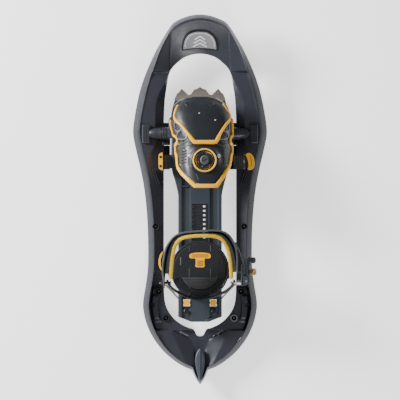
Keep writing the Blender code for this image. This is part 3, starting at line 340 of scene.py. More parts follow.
def turned_bm(profile, place=Matrix.Identity(4), sides=40):
    """A closed profile of (radius, height) points turned about the local Z axis."""
    rings = []
    for k in range(sides):
        a = 2 * math.pi * k / sides
        rings.append([place @ Vector((r * math.cos(a), r * math.sin(a), z)) for r, z in profile])
    bm = loft_bm(rings, closed=True, caps=False, loop=True)
    bmesh.ops.remove_doubles(bm, verts=bm.verts, dist=0.0001)
    return bm


def rod_bm(radius, low, high, place, sides):
    """A round bar about the local Z axis, from low to high."""
    return turned_bm([(0, low), (radius, low), (radius, high), (0, high)], place, sides)


def at(x, y, z, tilt=0.0):
    """A local frame at a point, leaning forward by tilt."""
    return Matrix.Translation((x, y, z)) @ Matrix.Rotation(-tilt, 4, "X")


def along_x(x, y, z):
    return Matrix.Translation((x, y, z)) @ Matrix.Rotation(math.pi / 2, 4, "Y")


def smooth_step(value, low, high):
    t = min(1.0, max(0.0, (value - low) / (high - low)))
    return t * t * (3 - 2 * t)


def between(p0, p1, p2, p3, t):
    """The place at share t from p1 to p2 on a smooth curve through four points."""
    return 0.5 * ((2 * p1) + (p2 - p0) * t + (2 * p0 - 5 * p1 + 4 * p2 - p3) * t**2
                  + (3 * p1 - p0 - 3 * p2 + p3) * t**3)


def smooth_path(points, steps, closed=False):
    """A smooth curve through given points, as many pieces per gap as steps."""
    made = []
    count = len(points)
    last = count if closed else count - 1
    for i in range(last):
        if closed:
            p0, p1, p2, p3 = (Vector(points[(i + k) % count]) for k in (-1, 0, 1, 2))
        else:
            p0, p1 = Vector(points[max(i - 1, 0)]), Vector(points[i])
            p2, p3 = Vector(points[i + 1]), Vector(points[min(i + 2, count - 1)])
        for k in range(steps):
            made.append(between(p0, p1, p2, p3, k / steps))
    if not closed:
        made.append(Vector(points[-1]))
    return made


def smooth_outline(points, steps, closed=True):
    """A smooth curve through (x, y) points in plan."""
    return [(p.x, p.y) for p in smooth_path([(x, y, 0) for x, y in points], steps, closed)]


def blend_rows(table, at_place, column):
    """Value of one column of a table at a place in its first column: a smooth curve with no overshoot."""
    rows = sorted(table)
    if at_place <= rows[0][0]:
        return rows[0][column]
    if at_place >= rows[-1][0]:
        return rows[-1][column]
    k = max(i for i, row in enumerate(rows[:-1]) if row[0] <= at_place)

    def slope(i):
        return (rows[i + 1][column] - rows[i][column]) / (rows[i + 1][0] - rows[i][0])

    def tangent(i):
        if i == 0 or i == len(rows) - 1:
            return slope(min(i, len(rows) - 2))
        before, after = slope(i - 1), slope(i)
        return 0.0 if before * after <= 0 else 2 * before * after / (before + after)

    width = rows[k + 1][0] - rows[k][0]
    t = (at_place - rows[k][0]) / width
    low, high = rows[k][column], rows[k + 1][column]
    return ((2 * t**3 - 3 * t**2 + 1) * low + (t**3 - 2 * t**2 + t) * width * tangent(k)
            + (3 * t**2 - 2 * t**3) * high + (t**3 - t**2) * width * tangent(k + 1))


def sweep_bm(path, section, up=Vector((0, 0, 1))):
    """A section of (out, up) points swept along a path; section may be a function of the path's share."""
    rings = []
    last = len(path) - 1
    for i, middle in enumerate(path):
        along = (path[min(i + 1, last)] - path[max(i - 1, 0)]).normalized()
        out = along.cross(up).normalized()
        rise = out.cross(along).normalized()
        points = section(i / last) if callable(section) else section
        rings.append([middle + out * a + rise * b for a, b in points])
    return loft_bm(rings)


def rounded_rectangle(width, height, radius, steps=4):
    """Points round a rectangle with round corners, centred on 0, 0."""
    points = []
    for corner, (sx, sy) in enumerate(((1, 1), (-1, 1), (-1, -1), (1, -1))):
        cx, cy = sx * (width / 2 - radius), sy * (height / 2 - radius)
        for k in range(steps + 1):
            a = math.pi / 2 * (corner + k / steps)
            points.append((cx + radius * math.cos(a), cy + radius * math.sin(a)))
    return points


def strip(name, path, size, material, body, slot, steps=3):
    """A thin bar along a path; size is its width, height and corner radius."""
    return show(name, sweep_bm(path, rounded_rectangle(*size, steps)), material, body, 60.0)


# ---------------------------------------------------------------- deck

DECK_LENGTH_HALF = 296.4
RIM_BOTTOM = 10.5
TIP_RISE, TIP_START = 46.0, 95.0
TAIL_RISE, TAIL_START = 9.0, -215.0
INNER_X = 58.0
AXLE_Y, AXLE_Z = 106.5, 34.0
CREASE_Y = 207.0          # where the tip's upper layer steps down to the rails
CREASE_X = 47.0           # the lengthwise creases beside the tip's crown
STEP_Y = -209.0           # where the pockets beside the heel end

# Outline, tip to tail, as matching points of the outer edge and of the opening: x, y, x, y
DECK_STATIONS = (
    (0.0, 296.4, 0.0, 234.0), (16.0, 294.5, 9.0, 233.3), (30.0, 290.0, 18.0, 231.0),
    (42.0, 283.5, 27.0, 227.0), (50.0, 274.0, 36.0, 220.0), (60.0, 258.0, 44.0, 212.0),
    (70.0, 240.0, 49.0, 203.0), (79.5, 220.0, 51.5, 192.0), (88.0, 200.0, 53.5, 180.0),
    (96.0, 176.0, 55.8, 165.0), (102.3, 148.0, 57.3, 145.0), (106.5, 122.0, INNER_X, 124.0),
    (107.2, 104.0, INNER_X, 104.0), (102.6, 80.0, INNER_X, 80.0), (96.0, 52.0, INNER_X, 52.0),
    (90.2, 22.0, INNER_X, 22.0), (86.5, -8.0, INNER_X, -8.0), (84.0, -44.0, INNER_X, -44.0),
    (83.2, -85.0, INNER_X, -85.0), (84.0, -112.0, INNER_X, -112.0), (87.4, -138.0, INNER_X, -135.0),
    (91.0, -160.0, 57.0, -158.0), (91.0, -176.0, 53.0, -174.0), (86.0, -198.0, 43.0, -189.0),
    (76.0, -220.0, 31.0, -199.0), (60.0, -241.5, 19.0, -204.8), (42.0, -257.5, 11.5, -206.9),
    (26.0, -267.5, 8.5, -210.5), (14.0, -272.5, 6.5, -215.0), (11.0, -277.5, 4.5, -217.6),
    (6.5, -287.5, 2.2, -218.5), (0.0, -296.4, 0.0, -218.6),
)
DECK_DEPTH = ((-297, 12), (-230, 17), (-180, 23.5), (150, 23.5), (230, 19), (297, 14))
OUTER_STRIP = ((-297, 4.5), (-255, 6), (-205, 8.5), (-150, 9.5), (150, 10.5), (210, 9), (262, 5.5), (297, 5))
SPIKES = {"front": (71.0, -42.4), "middle": (66.0, -146.8), "rear": (54.5, -189.4)}


def rise(y):
    """How far the deck curls up above its flat middle."""
    front = max(0.0, (y - TIP_START) / (DECK_LENGTH_HALF - TIP_START))
    back = max(0.0, (TAIL_START - y) / (DECK_LENGTH_HALF + TAIL_START))
    return TIP_RISE * front**2 + TAIL_RISE * back**2


def deck_height(x, y, station_y, width, away):
    """Height of the deck's top at a place: away is the distance from the outer edge."""
    near = width - away
    crest = RIM_BOTTOM + blend_rows(DECK_DEPTH, station_y, 1) + rise(y)
    strip = min(blend_rows(OUTER_STRIP, station_y, 1), width * 0.4)
    edge_drop = min(11.5, blend_rows(DECK_DEPTH, station_y, 1) - 3.0)
    if away <= strip:
        return crest - edge_drop * (1 - away / strip) ** 1.15
    inward = (away - strip) / max(0.1, width - strip)
    z = crest

    # rails: a plain roof at the waist, with a level middle facet in front
    facet = 14.0 * smooth_step(CREASE_Y - y, 0, 55) + (width - strip - 14.0) * smooth_step(95 - y, 0, 45)
    if facet > 0.5 and near < facet:
        z -= 7.5 * (1 - near / facet)
    z -= 1.1 * smooth_step(away - strip, 0, 3.0) * smooth_step(y, 60, 120)

    # tip: a layer that steps down at the crease, with a crown between two lengthwise creases
    tip = smooth_step(y, CREASE_Y - 3.5, CREASE_Y)
    z += 1.8 * tip - 1.6 * (1 - tip) * smooth_step(y, CREASE_Y - 16, CREASE_Y - 3.5)
    z -= tip * (3.0 + 7.0 * (1 - min(1.0, x / 50.0) ** 2)) * min(1.0, inward)
    if tip > 0 and x < CREASE_X:
        z += tip * (0.5 + 3.0 * (1 - (x / CREASE_X) ** 2)) * smooth_step(away - strip, -1, 5)
    elif tip > 0:
        z += tip * 0.09 * (x - CREASE_X)

    # tail: facets that fall to the middle, a side facet, and a round bead along the opening
    tail = smooth_step(-y, -STEP_Y - 1.5, -STEP_Y + 1.5)
    if tail > 0:
        ridge = max(4.0, 47.0 + (y - STEP_Y) * 0.47)
        slope = -6.5 * (1 - x / ridge) if x < ridge else -0.16 * (x - ridge)
        z += tail * slope * smooth_step(away - strip, -0.5, 1.5)
    bead_end = smooth_step(-y, 192, 204)
    bead = 15.0 * bead_end
    if bead and near < bead:
        round_top = 3.2 * math.sqrt(max(0.0, 1 - ((near - bead / 2) / (bead / 2)) ** 2))
        z += bead_end * (round_top - 2.8)
    elif bead and near < bead + 2.2:
        z -= 3.0 * bead_end * (1 - abs(near - bead - 1.1) / 1.1)

    # pockets beside the heel: a low floor with a groove, a pad and a flat inner ledge
    pocket = smooth_step(-y, 112, 124) * (1 - tail)
    if pocket > 0 and away > strip:
        floor = 21.0 - 5.5 * smooth_step(-y, 112, 120) * (1 - smooth_step(-y, 134, 146))
        floor -= 4.0 * (1 - smooth_step(away - strip, 1.5, 4.5))
        pad = smooth_step(-y, 149, 156) * (1 - smooth_step(-y, 188, 197))
        pad *= smooth_step(away - strip, 3.5, 6.5) * (1 - smooth_step(away - strip, 12.5, 17.0))
        notch = math.exp(-((y + 168) / 3.0) ** 2) * math.exp(-((away - strip - 5) / 3.0) ** 2)
        floor += 5.0 * pad * (1 - 0.9 * notch)
        wall = smooth_step(away - strip, 0.0, 1.4)
        z += pocket * wall * (floor + rise(y) - z)
    return max(z, RIM_BOTTOM + rise(y) + 4.5)


def deck_ring(outer_x, outer_y, inner_x, inner_y, columns):
    """One closed section of the deck at a station, from the rim's foot over the top and back beneath."""
    outer, inner = Vector((outer_x, outer_y)), Vector((inner_x, inner_y))
    width = (inner - outer).length
    across = (inner - outer) / width
    depth = blend_rows(DECK_DEPTH, outer_y, 1)
    foot = RIM_BOTTOM + rise(outer_y)
    strip = min(blend_rows(OUTER_STRIP, outer_y, 1), width * 0.4)
    steps = [strip * (k / 6) for k in range(7)]
    steps += [strip + (width - strip) * k / (columns - 6) for k in range(1, columns - 5)]
    top = []
    for away in steps:
        place = outer + across * away
        top.append(Vector((place.x, place.y, deck_height(place.x, place.y, outer_y, width, away))))
    inner_foot = max(foot - 0.6, top[-1].z - min(11.0, depth - 3.0))
    inner_foot = min(inner_foot, top[-1].z - 3.0)
    skin = 2.6
    below = [Vector((p.x, p.y, p.z - skin)) for p in top[3:-2:3]]
    first, last = Vector((*outer, foot)), Vector((*(outer + across * 2.4), foot))
    hem = [Vector((*inner, inner_foot)), Vector((*(inner - across * 2.6), inner_foot))]
    return [first] + top + hem + below[::-1] + [last]


def make_deck():
    columns = 50
    fine = []
    for i in range(len(DECK_STATIONS) - 1):
        rows = [Vector(DECK_STATIONS[max(0, min(len(DECK_STATIONS) - 1, i + k))]) for k in (-1, 0, 1, 2)]
        if i == 0:
            rows[0] = Vector((-rows[2][0], rows[2][1], -rows[2][2], rows[2][3]))
        if i == len(DECK_STATIONS) - 2:
            rows[3] = rows[2] * 2 - rows[1]
        p0, p1, p2, p3 = rows
        count = max(3, int((p2 - p1).length / 2.0))
        for k in range(count):
            fine.append(between(p0, p1, p2, p3, k / count))
    fine.append(Vector(DECK_STATIONS[-1]))
    rings = [deck_ring(*row, columns) for row in fine]
    for end in (0, -1):
        for p in rings[end]:
            p.x = 0.0
    bm = loft_bm(rings, caps=False)
    copied = bmesh.ops.duplicate(bm, geom=list(bm.verts) + list(bm.edges) + list(bm.faces))
    for v in copied["geom"]:
        if isinstance(v, bmesh.types.BMVert):
            v.co.x = -v.co.x
    bmesh.ops.remove_doubles(bm, verts=bm.verts, dist=0.002)
    deck = show("deck", bm, DECK, "deck", 24.0, ["deck_frame"])
    for side in (-1, 1):
        for x, y in SPIKES.values():
            cut(deck, rod_bm(4.6, 2, 80, at(side * x, y, 0), 28), "deck")
    shade(deck.data, 24)
    return deck


# ---------------------------------------------------------------- deck details

def make_tip_badge():
    """A D-shaped plate in a seat painted near-black as shade, with a thin arc and a plain chevron."""
    def lean(bm, low):
        for v in bm.verts:
            v.co.z += low + 0.57 * (v.co.y - 256.0)
        return bm

    def outline(grow):
        arch = [(math.copysign(26.5 * abs(math.cos(math.radians(a))) ** 0.8, 90 - a),
                 240.5 + 28.0 * math.sin(math.radians(a)) ** 0.8) for a in range(0, 181, 5)]
        foot = [(-13.0, 242.4), (0.0, 243.0), (13.0, 242.4)]
        centre = Vector((0.0, 255.0))
        return [tuple(centre + (Vector(p) - centre) * (1 + grow / 25.0)) for p in arch + foot]

    # The seat round the badge is near-black painted shade.
    rounded(show("badge_seat", lean(prism_bm(outline(2.8), 0, 3.4), 52.4), SHADOW, "deck"),
            0.5)
    rounded(show("badge", lean(prism_bm(outline(0.0), 0, 2.4), 54.0), BADGE, "deck",
                 replaces=["nose_badge"]), 0.7)
    arc = [Vector((math.copysign(23.6 * abs(math.cos(math.radians(a))) ** 0.8, 90 - a),
                   241.6 + 24.4 * math.sin(math.radians(a)) ** 0.8, 0)) for a in range(4, 177, 4)]
    lines = [arc]
    for step in (0.0, 5.5, 11.0):
        half = 11.0 - step * 0.25
        lines.append([Vector((-half, 245.0 + step, 0)), Vector((0.0, 250.5 + step, 0)),
                      Vector((half, 245.0 + step, 0))])
    for k, line in enumerate(lines):
        width = 0.9 if k == 0 else 2.0
        bm = sweep_bm(line, rounded_rectangle(width, 0.5, 0.2, 2))
        show(f"badge_line_{k}", lean(bm, 56.5), WHITE, "deck", 60.0)


# Radius and distance out from the opening's edge
BOSS_PROFILES = {
    "left": [(4.6, 0), (8.6, 0), (9.9, 1.2), (9.9, 14.0), (9.2, 15.0), (9.2, 22.0), (7.6, 31.0), (6.2, 33.6),
             (4.6, 33.8)],
    "right": [(4.6, 0), (8.8, 0), (9.8, 1.0), (9.9, 12.0), (9.0, 22.0), (7.2, 29.0), (5.0, 32.4),
              (4.6, 32.6)],
}


def make_axle_mounts():
    """The lug, shelf, ribbed boss and outer housing that hold the axle on each side."""
    for side, tag in SIDES:
        lug = show(f"axle_lug_{tag}", side_block_bm(side, (47.6, 88.0, 13.5), (60.5, 124.0, 29.5)), DECK,
                   "deck")
        for v in lug.data.vertices:
            if v.co.y > 0.12 and v.co.z > 0.02:
                v.co.z = 0.0185
        rounded(lug, 1.6)
        # The shelf below each lug is near-black painted shade for the deep recess there.
        shelf = side_block_bm(side, (48.2, 50.5, 13.2), (60.0, 87.4, 20.0))
        rounded(show(f"axle_shelf_shadow_{tag}", shelf, SHADOW, "deck"), 1.2)
        line = side_block_bm(side, (48.2, 49.0, 13.2), (60.0, 51.2, 24.6))
        rounded(show(f"shelf_line_{tag}", line, DECK, "deck"), 0.6)
        place = along_x(side * 47.4, AXLE_Y, AXLE_Z)
        if side < 0:
            place = place @ Matrix.Rotation(math.pi, 4, "X")
        show(f"axle_boss_{tag}", turned_bm(BOSS_PROFILES[tag], place), DECK, "deck")
        for k in range(4):
            x = side * (51.0 + 4.0 * k)
            ring = turned_bm([(9.6, -0.5), (10.6, -0.3), (10.6, 0.3), (9.6, 0.5)], along_x(x, AXLE_Y, AXLE_Z))
            show(f"boss_rib_{tag}_{k}", ring, DECK, "deck")
        housing = side_block_bm(side, (79.4, 90.5, 22.0), (92.6, 120.5, 38.8))
        rounded(show(f"axle_housing_{tag}", housing, DECK, "deck"), 2.2)
        for k, x in enumerate((81.6, 85.6, 89.8)):
            # Near-black strips paint the shade in the housing's slots.
            slot = side_block_bm(side, (x, 93.5, 38.0), (x + 1.1, 117.5, 39.1))
            rounded(show(f"housing_slot_shadow_{tag}_{k}", slot, SHADOW, "deck"), 0.3)
        for k, offset in enumerate((0.0, 5.2)):
            path = [Vector((side * (76.0 - offset * 0.6), 49.0 + offset * 0.2, 33.6)),
                    Vector((side * (72.5 - offset * 0.6), 37.0 + offset * 0.2, 33.1)),
                    Vector((side * (68.5 - offset * 0.6), 25.0 + offset * 0.2, 32.6))]
            strip(f"rail_line_{tag}_{k}", path, (1.1, 2.6, 0.5), DECK, "deck", "deck_plastic")


def make_stud_sockets():
    """A sleeve in each stud hole and a hexagonal disc over the stud below it, near-black as painted shade in the
    hole; the rear right sleeve is paler grey as a painted highlight.
    """
    tops = {"front": (32.5, 23.5), "middle": (24.5, 14.5), "rear": (24.0, 14.5)}
    for side, tag in SIDES:
        for name, (x, y) in SPIKES.items():
            top, seat = tops[name]
            sleeve = [(3.9, seat + 0.2), (5.8, seat + 0.2), (5.8, top - 0.4), (5.2, top + 0.2),
                      (4.5, top + 0.2),
                      (3.9, top - 0.6)]
            # The rear right sleeve is paler badge grey as a painted highlight; the other sleeves are near-black
            # painted shade.
            rim = BADGE if (name == "rear" and side > 0) else SHADOW
            show(f"stud_sleeve_{name}_{tag}", turned_bm(sleeve, at(side * x, y, 0), 32), rim, "deck")
            # A near-black disc over the stud paints the shade down in the hole.
            shade_disc = [(1.4, seat + 0.2), (4.1, seat + 0.2), (4.1, seat + 1.6), (2.6, seat + 1.9),
                     (1.4, seat + 1.2)]
            show(f"stud_hole_shadow_{name}_{tag}", turned_bm(shade_disc, at(side * x, y, 0), 6), SHADOW, "deck")


def make_tail_fin():
    """The leaf-shaped steering fin on the tail's end."""
    rings = []
    for k in range(29):
        share = k / 28
        y = -238.0 - 56.6 * share
        half = 8.1 * math.sin(math.pi * min(1.0, share * 1.18) ** 0.8) ** 0.8 if share < 0.42 else \
            8.1 * (1 - ((share - 0.36) / 0.64) ** 1.35)
        half = max(0.25, half)
        base = RIM_BOTTOM + blend_rows(DECK_DEPTH, y, 1) + rise(y)
        high = base + 2.2 + 1.6 * math.sin(math.pi * share)
        low = base - 7.0
        ring = [(-half, y, low), (-half, y, high - 1.9)]
        ring += [(half * math.sin(math.radians(a)), y, high - 1.9 + 1.9 * math.cos(math.radians(a)))
                 for a in range(-75, 76, 15)]
        ring += [(half, y, high - 1.9), (half, y, low)]
        rings.append(ring)
    show("tail_fin", loft_bm(rings), SHADOW_BLUE, "deck", 40.0)
    path = [Vector((0, -242 - 46 * k / 12, RIM_BOTTOM + blend_rows(DECK_DEPTH, -242 - 46 * k / 12, 1)
                    + rise(-242 - 46 * k / 12) + 3.2 + 1.0 * math.sin(math.pi * k / 12))) for k in range(13)]
    strip("fin_spine", path, (1.3, 1.6, 0.5), SHADOW_BLUE, "deck", "deck_plastic")


# ---------------------------------------------------------------- boot plate

PLATE_TOP, PLATE_BOTTOM = 50.0, 34.0


def plate_half(y):
    return blend_rows(((-196, 12), (-191, 24), (-186, 35), (4, 35), (28, 39.5), (48, 45), (60, 46), (120, 45),
                       (140, 43), (152, 36), (159, 22), (160.5, 6)), y, 1)


def make_boot_plate():
    """The long plate: side rails, a groove inside each rail, and a raised middle."""
    rings = []
    ys = [-195.0 + 355.0 * k / 240 for k in range(241)]
    for y in ys:
        half = plate_half(y)
        shrink = half / 35.0 if half < 35 else 1.0
        low_groove = PLATE_TOP - 3.4 * smooth_step(half, 26, 34)
        top = [(-half, PLATE_TOP - 2.6), (-half + 0.5, PLATE_TOP - 0.9), (-half + 1.6, PLATE_TOP - 0.25)]
        for x in (29.6, 29.0, 28.2, 16.6, 15.9, 15.2):
            grooved = x in (28.2, 16.6)
            level = PLATE_TOP - 0.2 if x > 29.3 or x < 15.5 else (PLATE_TOP + low_groove) / 2
            z = low_groove if grooved else level
            top.append((-x * min(1.0, shrink * 1.02), z))
        top += [(-6.0 * shrink, PLATE_TOP - 0.05)]
        right = [(-x, z) for x, z in reversed(top)]
        section = top + right
        section += [(half, PLATE_BOTTOM + 1.2), (half - 1.2, PLATE_BOTTOM), (half - 3.0, PLATE_BOTTOM),
                    (half - 3.4, PLATE_TOP - 6.4), (-half + 3.4, PLATE_TOP - 6.4),
                    (-half + 3.0, PLATE_BOTTOM),
                    (-half + 1.2, PLATE_BOTTOM), (-half, PLATE_BOTTOM + 1.2)]
        rings.append([(x, y, z) for x, z in section])
    plate = show("plate", loft_bm(rings), PLATE, "binding", 28.0, ["boot_plate"])
    pocket = block_bm((-12.9, -70.0, 48.2), (13.4, -6.0, 60.0))
    cut(plate, pocket, "binding")
    for side in (-1, 1):
        for low, high in (((16.0, -169.8, 30.0), (26.4, -159.0, 60.0)),
                          ((30.0, -172.0, 30.0), (40.0, -142.0, 46.2))):
            cut(plate, side_block_bm(side, low, high), "binding")
    shade(plate.data, 28)

    # the middle's length scale: through-holes along one side, steps along the other, fine cross ribs
    scale = show("rack_bed", block_bm((-12.7, -69.7, 47.9), (13.2, -6.3, 48.9)), BLACK, "binding",
                 replaces=["length_rack"])
    rounded(scale, 0.2)
    teeth = []
    for k in range(9):
        y = -10.2 - 7.1 * k
        teeth.append((f"rack_hole_{k}", (4.9, y - 1.5, 48.7), (8.6, y + 1.5, 49.12), WHITE))
        teeth.append((f"rack_step_{k}", (-12.4, y - 2.2, 48.7), (-7.6, y + 2.0, 49.8), BLACK))
        teeth.append((f"rack_tooth_{k}", (9.8, y - 2.2, 48.7), (12.9, y + 2.0, 49.7), BLACK))
    for name, low, high, material in teeth:
        rounded(show(name, block_bm(low, high), material, "binding"), 0.35)
    for k in range(24):
        y = -9.0 - 2.45 * k
        rounded(show(f"rack_line_{k}", block_bm((-6.6, y - 0.45, 48.7), (3.6, y + 0.45, 49.35)), BLACK,
                     "binding"), 0.25)
    for side, tag in SIDES:
        for k, y in enumerate((34.0, 22.0, -74.0)):
            rib = side_block_bm(side, (17.2, y - 1.0, 46.0), (27.6, y + 1.0, 49.4))
            rounded(show(f"groove_rib_{tag}_{k}", rib, PLATE, "binding"), 0.6)
        sleeve = turned_bm([(6.7, 0), (9.8, 0), (9.8, 1.0), (9.3, 1.6), (9.3, 12), (6.7, 12)],
                           along_x(side * 45.2, AXLE_Y,
                                   AXLE_Z) @ Matrix.Rotation(0 if side < 0 else math.pi, 4, "X"))
        show(f"plate_sleeve_{tag}", sleeve, PLATE, "binding")
    shelf = [(38.0, 58.0), (53.0, 62.0), (53.4, 128.0), (49.0, 133.6), (38.0, 134.0)]
    rounded(show("plate_shelf_right", prism_bm(shelf, 45.8, 49.8), PLATE, "binding"), 1.0)
    shelf = [(-38.0, 134.0), (-47.0, 133.6), (-50.4, 128.0), (-50.2, 100.0), (-38.0, 97.0)]
    rounded(show("plate_shelf_left", prism_bm(shelf, 45.8, 49.8), PLATE, "binding"), 1.0)


# ---------------------------------------------------------------- toe harness

# Harness in plan: y, left edge, right edge
HARNESS_EDGES = (
    (19, -8, 27), (30, -19, 34), (43, -31, 42), (55, -36.5, 48), (66, -38.5, 50.5), (78, -40, 52.5),
    (86, -40, 52), (96, -39.5, 51.5), (104, -43, 52), (113, -46, 52.5), (122, -47.5, 52),
    (131, -46.5, 50), (140, -45, 47), (150, -42, 43), (157, -35, 36), (162, -25, 25),
)
CAP_EDGES = ((96, -6.4, 21.8), (108, -16, 28.5), (121, -26.5, 36.4), (134, -37, 44),
             (142, -35, 40), (150, -32, 34.5), (157, -26, 28), (162, -18, 19), (165, -8, 9))
# Where the yellow edging runs: as the harness, with a knee on both sides
EDGING = ((19.4, -8, 27), (30, -19, 34), (43, -31, 42), (52, -35.5, 46.5), (60, -36.5, 48.5), (70, -37.5, 50),
          (80, -40.5, 52.5), (88, -39.5, 51.5), (94, -35.5, 47.5), (97, -36, 48), (103, -42.5, 52.5),
          (113, -45.5, 53), (122, -46.5, 52), (128, -46.5, 50.5))
PANEL_EDGES = ((26, -2, 20), (34, -10, 26), (44, -17, 33), (56, -20, 36), (70, -19, 35), (80, -16, 31),
               (84, -12, 27))
# Boot under the harness: y, middle line, half width, height above the plate
BOOT_SHAPE = ((10, 8, 46, 71), (30, 8, 46, 68), (50, 7, 45.5, 65), (62, 6.5, 45, 62), (72, 6.2, 43.2, 60),
              (86, 6.0, 43.4, 57), (104, 4.5, 45, 53), (122, 2.2, 47, 46), (134, 1.5, 45.3, 41),
              (145, 0.8, 42.8, 35), (152, 0.5, 39.5, 30), (158, 0, 33, 25), (163, 0, 26, 20),
              (167, 0, 22, 16))
BOOT_SQUARENESS = 2.7
WING_REAR = 66.0
BOOT_REACH = 52.0         # millimetres of surface to one radian
SKIN = 2.4
CAP_LOW = SKIN + 0.9
DIAL_X, DIAL_Y, DIAL_PAD_Z, DIAL_TILT = 7.4, 62.8, 118.6, math.radians(6.0)


def boot_point(angle, y, offset):
    """A point so far outside the boot: angle 0 is the top, +-90 degrees the plate."""
    power = 2 / BOOT_SQUARENESS
    half = blend_rows(BOOT_SHAPE, y, 2) + offset
    tall = blend_rows(BOOT_SHAPE, y, 3) + offset
    across = math.copysign(abs(math.sin(angle)) ** power, angle) * half
    return Vector((blend_rows(BOOT_SHAPE, y, 1) + across, y,
                   PLATE_TOP + 0.35 + tall * max(0.0, math.cos(angle)) ** power))


def edge_angle(x, y, offset=SKIN):
    away = x - blend_rows(BOOT_SHAPE, y, 1)
    share = min(1.0, abs(away) / (blend_rows(BOOT_SHAPE, y, 2) + offset))
    return math.copysign(math.asin(share ** (BOOT_SQUARENESS / 2)), away)


def boot_top(x, y, offset):
    """Height of the surface so far outside the boot over a place in plan."""
    return boot_point(edge_angle(x, y, offset), y, offset).z


def edges_of(table):
    return lambda y: (edge_angle(blend_rows(table, y, 1), y), edge_angle(blend_rows(table, y, 2), y))


def harness_angles(y):
    if y >= WING_REAR:
        return -math.pi / 2, math.pi / 2
    return edges_of(HARNESS_EDGES)(y)


cap_angles = edges_of(CAP_EDGES)


def close_sheet(bm, low, high):
    """Faces over two matching grids of vertices, and round the border between them."""
    borders = []
    for grid in (low, high):
        for one, two in zip(grid, grid[1:]):
            for i in range(len(one) - 1):
                bm.faces.new((one[i], one[i + 1], two[i + 1], two[i]))
        borders.append([grid[0], [row[-1] for row in grid], grid[-1][::-1], [row[0] for row in grid][::-1]])
    for under, over in zip(*borders):
        for i in range(len(under) - 1):
            bm.faces.new((under[i], under[i + 1], over[i + 1], over[i]))


def skin_bm(ys, columns, limits, inner, outer):
    """A closed skin over the boot, between two distances from it."""
    bm = bmesh.new()
    grids = []
    for offset in (inner, outer):
        grid = []
        for y in ys:
            left, right = limits(y)
            grid.append([bm.verts.new(boot_point(left + (right - left) * k / columns, y, offset))
                         for k in range(columns + 1)])
        grids.append(grid)
    close_sheet(bm, *grids)
    return bm


def rim_path(limits, ys, steepest, foot_steps=16):
    """Places (angle, y) down the left edge of a skin, across its rear edge and up the right edge."""
    left = [(max(limits(y)[0], -steepest), y) for y in ys]
    right = [(min(limits(y)[1], steepest), y) for y in ys]
    start, end = left[-1], right[-1]
    foot = [(start[0] + (end[0] - start[0]) * k / foot_steps, start[1]) for k in range(1, foot_steps)]
    return left + foot + right[::-1]


def boot_strip(name, path, section, material, body="binding", replaces=(), smooth=40.0):
    """A section of (inward, offset) points carried along places (angle, y) on the boot."""
    rings = []
    last = len(path) - 1
    for i, (angle, y) in enumerate(path):
        ahead, behind = path[min(i + 1, last)], path[max(i - 1, 0)]
        along = Vector(((ahead[0] - behind[0]) * BOOT_REACH, ahead[1] - behind[1])).normalized()
        points = section(i / last) if callable(section) else section
        rings.append([boot_point(angle - along.y * side / BOOT_REACH, y + along.x * side, offset)
                      for side, offset in points])
    return show(name, loft_bm(rings), material, body, smooth, replaces)


def bead(near, far, low, high):
    """A rounded edging section between two distances and two offsets."""
    middle, half = (near + far) / 2, abs(far - near) / 2
    points = [(middle + half * math.cos(math.radians(a)),
               low + 0.5 + (high - low - 0.5) * math.sin(math.radians(a)) ** 0.6) for a in range(0, 181, 15)]
    return [(middle + half, low)] + points + [(middle - half, low)]


def plan_path(points, steps=6, closed=False):
    """Places (angle, y) for a smooth curve drawn in plan."""
    return [(edge_angle(x, y), y) for x, y in smooth_outline(points, steps, closed)]


